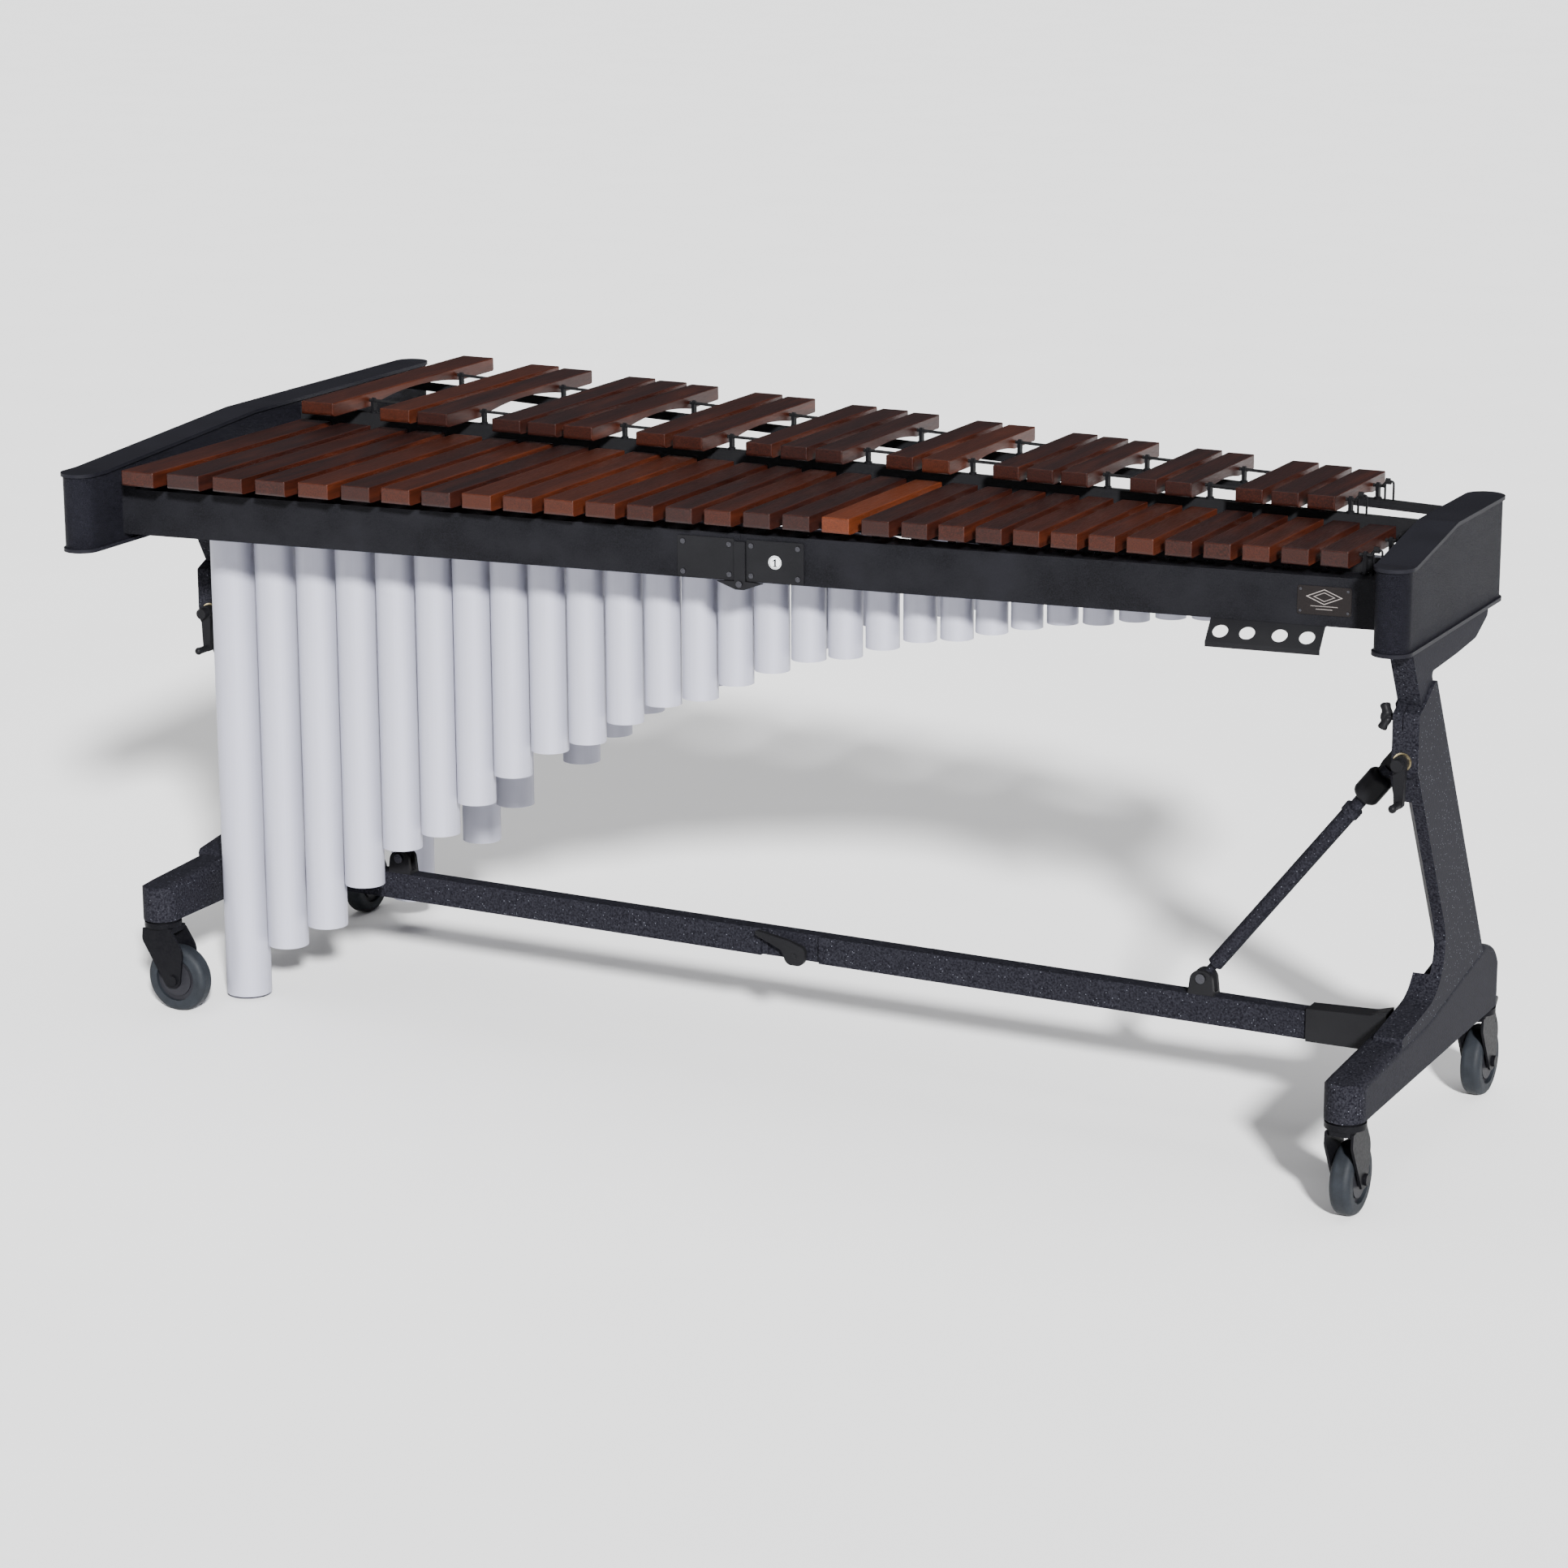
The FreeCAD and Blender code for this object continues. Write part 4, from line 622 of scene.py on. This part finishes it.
# Profiles are (radius, height off the plate) and the number is (right, up) from the label's middle.
LABEL_PROFILE = [(0.00475, 0.0004), (0.0094, 0.0004), (0.0095, 0.00016), (0.0095, 0.0)]
RING_PROFILE = [(0.0079, 0.0), (0.0079, 0.00055), (0.0084, 0.00055), (0.0084, 0.0)]
NUMBER_ONE = [(-0.0030, 0.0022), (0.0002, 0.0050), (0.0016, 0.0050), (0.0016, -0.0048),
              (0.0032, -0.0048), (0.0032, -0.0060), (-0.0026, -0.0060), (-0.0026, -0.0048),
              (-0.0006, -0.0048), (-0.0006, 0.0026), (-0.0024, 0.0010)]
NUMBER_HEIGHTS = (0.00058, 0.0002)   # its front and back, off the plate


def position_label():
    """The white round label with a ring and a plain number on the rail's joint plate."""
    slope = math.atan(RAIL_SLOPE)
    along = Vector((math.cos(slope), math.sin(slope), 0))
    out = Vector((math.sin(slope), -math.cos(slope), 0))
    up = Vector((0, 0, 1))
    rail_y = RAIL_CORNER.y + RAIL_SLOPE * (LABEL_X - RAIL_CORNER.x)
    face = Vector((LABEL_X, rail_y, LABEL_Z)) + out * JOINT_PLATE
    angles = [2 * math.pi * n / LABEL_STEPS for n in range(LABEL_STEPS)]

    def turned(name, slot, profile, filled):
        """A profile of (radius, height) pairs turned about the label's axis."""
        plan = bmesh.new()
        rings = []
        for radius, height in profile:
            centre = face + out * height
            rings.append([plan.verts.new(centre + along * radius * math.cos(t) + up * radius * math.sin(t))
                          for t in angles])
        for one, two in zip(rings, rings[1:]):
            for n in range(LABEL_STEPS):
                m = (n + 1) % LABEL_STEPS
                plan.faces.new((one[n], one[m], two[m], two[n]))
        if filled:
            plan.faces.new(rings[0])
        bmesh.ops.recalc_face_normals(plan, faces=plan.faces)
        place(plan, name, slot, "keyboard")

    turned("position_label", "label_white", LABEL_PROFILE, True)
    turned("position_label_ring", "label_ink", RING_PROFILE, False)
    plan = bmesh.new()
    front, back = [[plan.verts.new(face + out * height + along * u + up * v) for u, v in NUMBER_ONE]
                   for height in NUMBER_HEIGHTS]
    plan.faces.new(front)
    for n in range(len(front)):
        m = (n + 1) % len(front)
        plan.faces.new((front[n], front[m], back[m], back[n]))
    bmesh.ops.recalc_face_normals(plan, faces=plan.faces)
    place(plan, "position_label_number", "label_ink", "keyboard")


cord_ends()
wing_knobs()
position_label()


# ------------------------------------------------------------------ floor, light, camera

FLOOR_REACH = 70
# The studio's light by height: dark at the horizon and below it, pale overhead.
SKY = [(0.0, (0.05, 0.05, 0.06)), (0.3, (0.22, 0.22, 0.24)), (1.0, (1.0, 1.0, 1.0))]
SKY_STRENGTH = 0.40
CAMERA_PLACE = (2.67572, -5.40903, 1.9785)
CAMERA_HEADING = 26.79               # degrees to the left of looking along +Y
CAMERA_TILT = 14.79                  # degrees below the horizontal
CAMERA_ROLL = -0.24
CAMERA_LENS = 98.86


def floor():
    """A plain pale sheet of paper."""
    mesh = bpy.data.meshes.new("floor")
    sheet = bpy.data.objects.new("floor", mesh)
    bpy.context.scene.collection.objects.link(sheet)
    plan = bmesh.new()
    bmesh.ops.create_grid(plan, x_segments=2, y_segments=2, size=FLOOR_REACH)
    plan.to_mesh(mesh)
    plan.free()
    f = Finish("floor_paper")
    f.colour(f.ramp(f.noise(3, 2, 0.5), [(0.3, (0.92, 0.92, 0.92)), (0.7, (0.94, 0.94, 0.94))]))
    f.plain(roughness=0.9)
    mesh.materials.append(f.material)


def sky():
    """Soft light all round, by the direction's height."""
    world = bpy.data.worlds.new("studio")
    bpy.context.scene.world = world
    world.use_nodes = True
    nodes = world.node_tree.nodes
    background = nodes["Background"]
    where = nodes.new("ShaderNodeTexCoord")
    split = nodes.new("ShaderNodeSeparateXYZ")
    fade = nodes.new("ShaderNodeValToRGB")
    world.node_tree.links.new(where.outputs["Generated"], split.inputs[0])
    world.node_tree.links.new(split.outputs[2], fade.inputs["Fac"])
    world.node_tree.links.new(fade.outputs["Color"], background.inputs["Color"])
    elements = fade.color_ramp.elements
    elements.new(0.5)
    for element, (height, colour) in zip(elements, SKY):
        element.position = height
        element.color = (*colour, 1)
    background.inputs["Strength"].default_value = SKY_STRENGTH


def lamp(kind, name, place, aim, power, **settings):
    """A lamp at a place, aimed at a point."""
    light = bpy.data.lights.new(name, kind)
    light.energy = power
    for word, value in settings.items():
        setattr(light, word, value)
    holder = bpy.data.objects.new(name, light)
    bpy.context.scene.collection.objects.link(holder)
    holder.location = place
    way = Vector(aim) - Vector(place)
    holder.rotation_euler = way.to_track_quat("-Z", "Y").to_euler()


def lamps():
    lamp("SUN", "sky_panel", (0.3, 0.6, 5), (0, 0, 0), 1.5, angle=math.radians(60), specular_factor=0.5)
    lamp("SUN", "key", (3.4, -4.7, 2.75), (0, 0, 0), 12.0, angle=math.radians(5), specular_factor=0.6)
    lamp("AREA", "left_fill", (-4.2, -3.6, 2.0), (0, 0, 0.5), 40, size=2.4)


def camera():
    """The photo's camera, solved from the object's own straight lines."""
    lens = bpy.data.cameras.new("camera")
    lens.sensor_width = 36
    lens.lens = CAMERA_LENS
    lens.clip_end = 300
    holder = bpy.data.objects.new("camera", lens)
    bpy.context.scene.collection.objects.link(holder)
    turn = (Matrix.Rotation(math.radians(CAMERA_HEADING), 4, "Z")
            @ Matrix.Rotation(math.radians(90 - CAMERA_TILT), 4, "X")
            @ Matrix.Rotation(math.radians(CAMERA_ROLL), 4, "Z"))
    holder.matrix_world = Matrix.Translation(CAMERA_PLACE) @ turn
    bpy.context.scene.camera = holder


floor()
sky()
lamps()
camera()
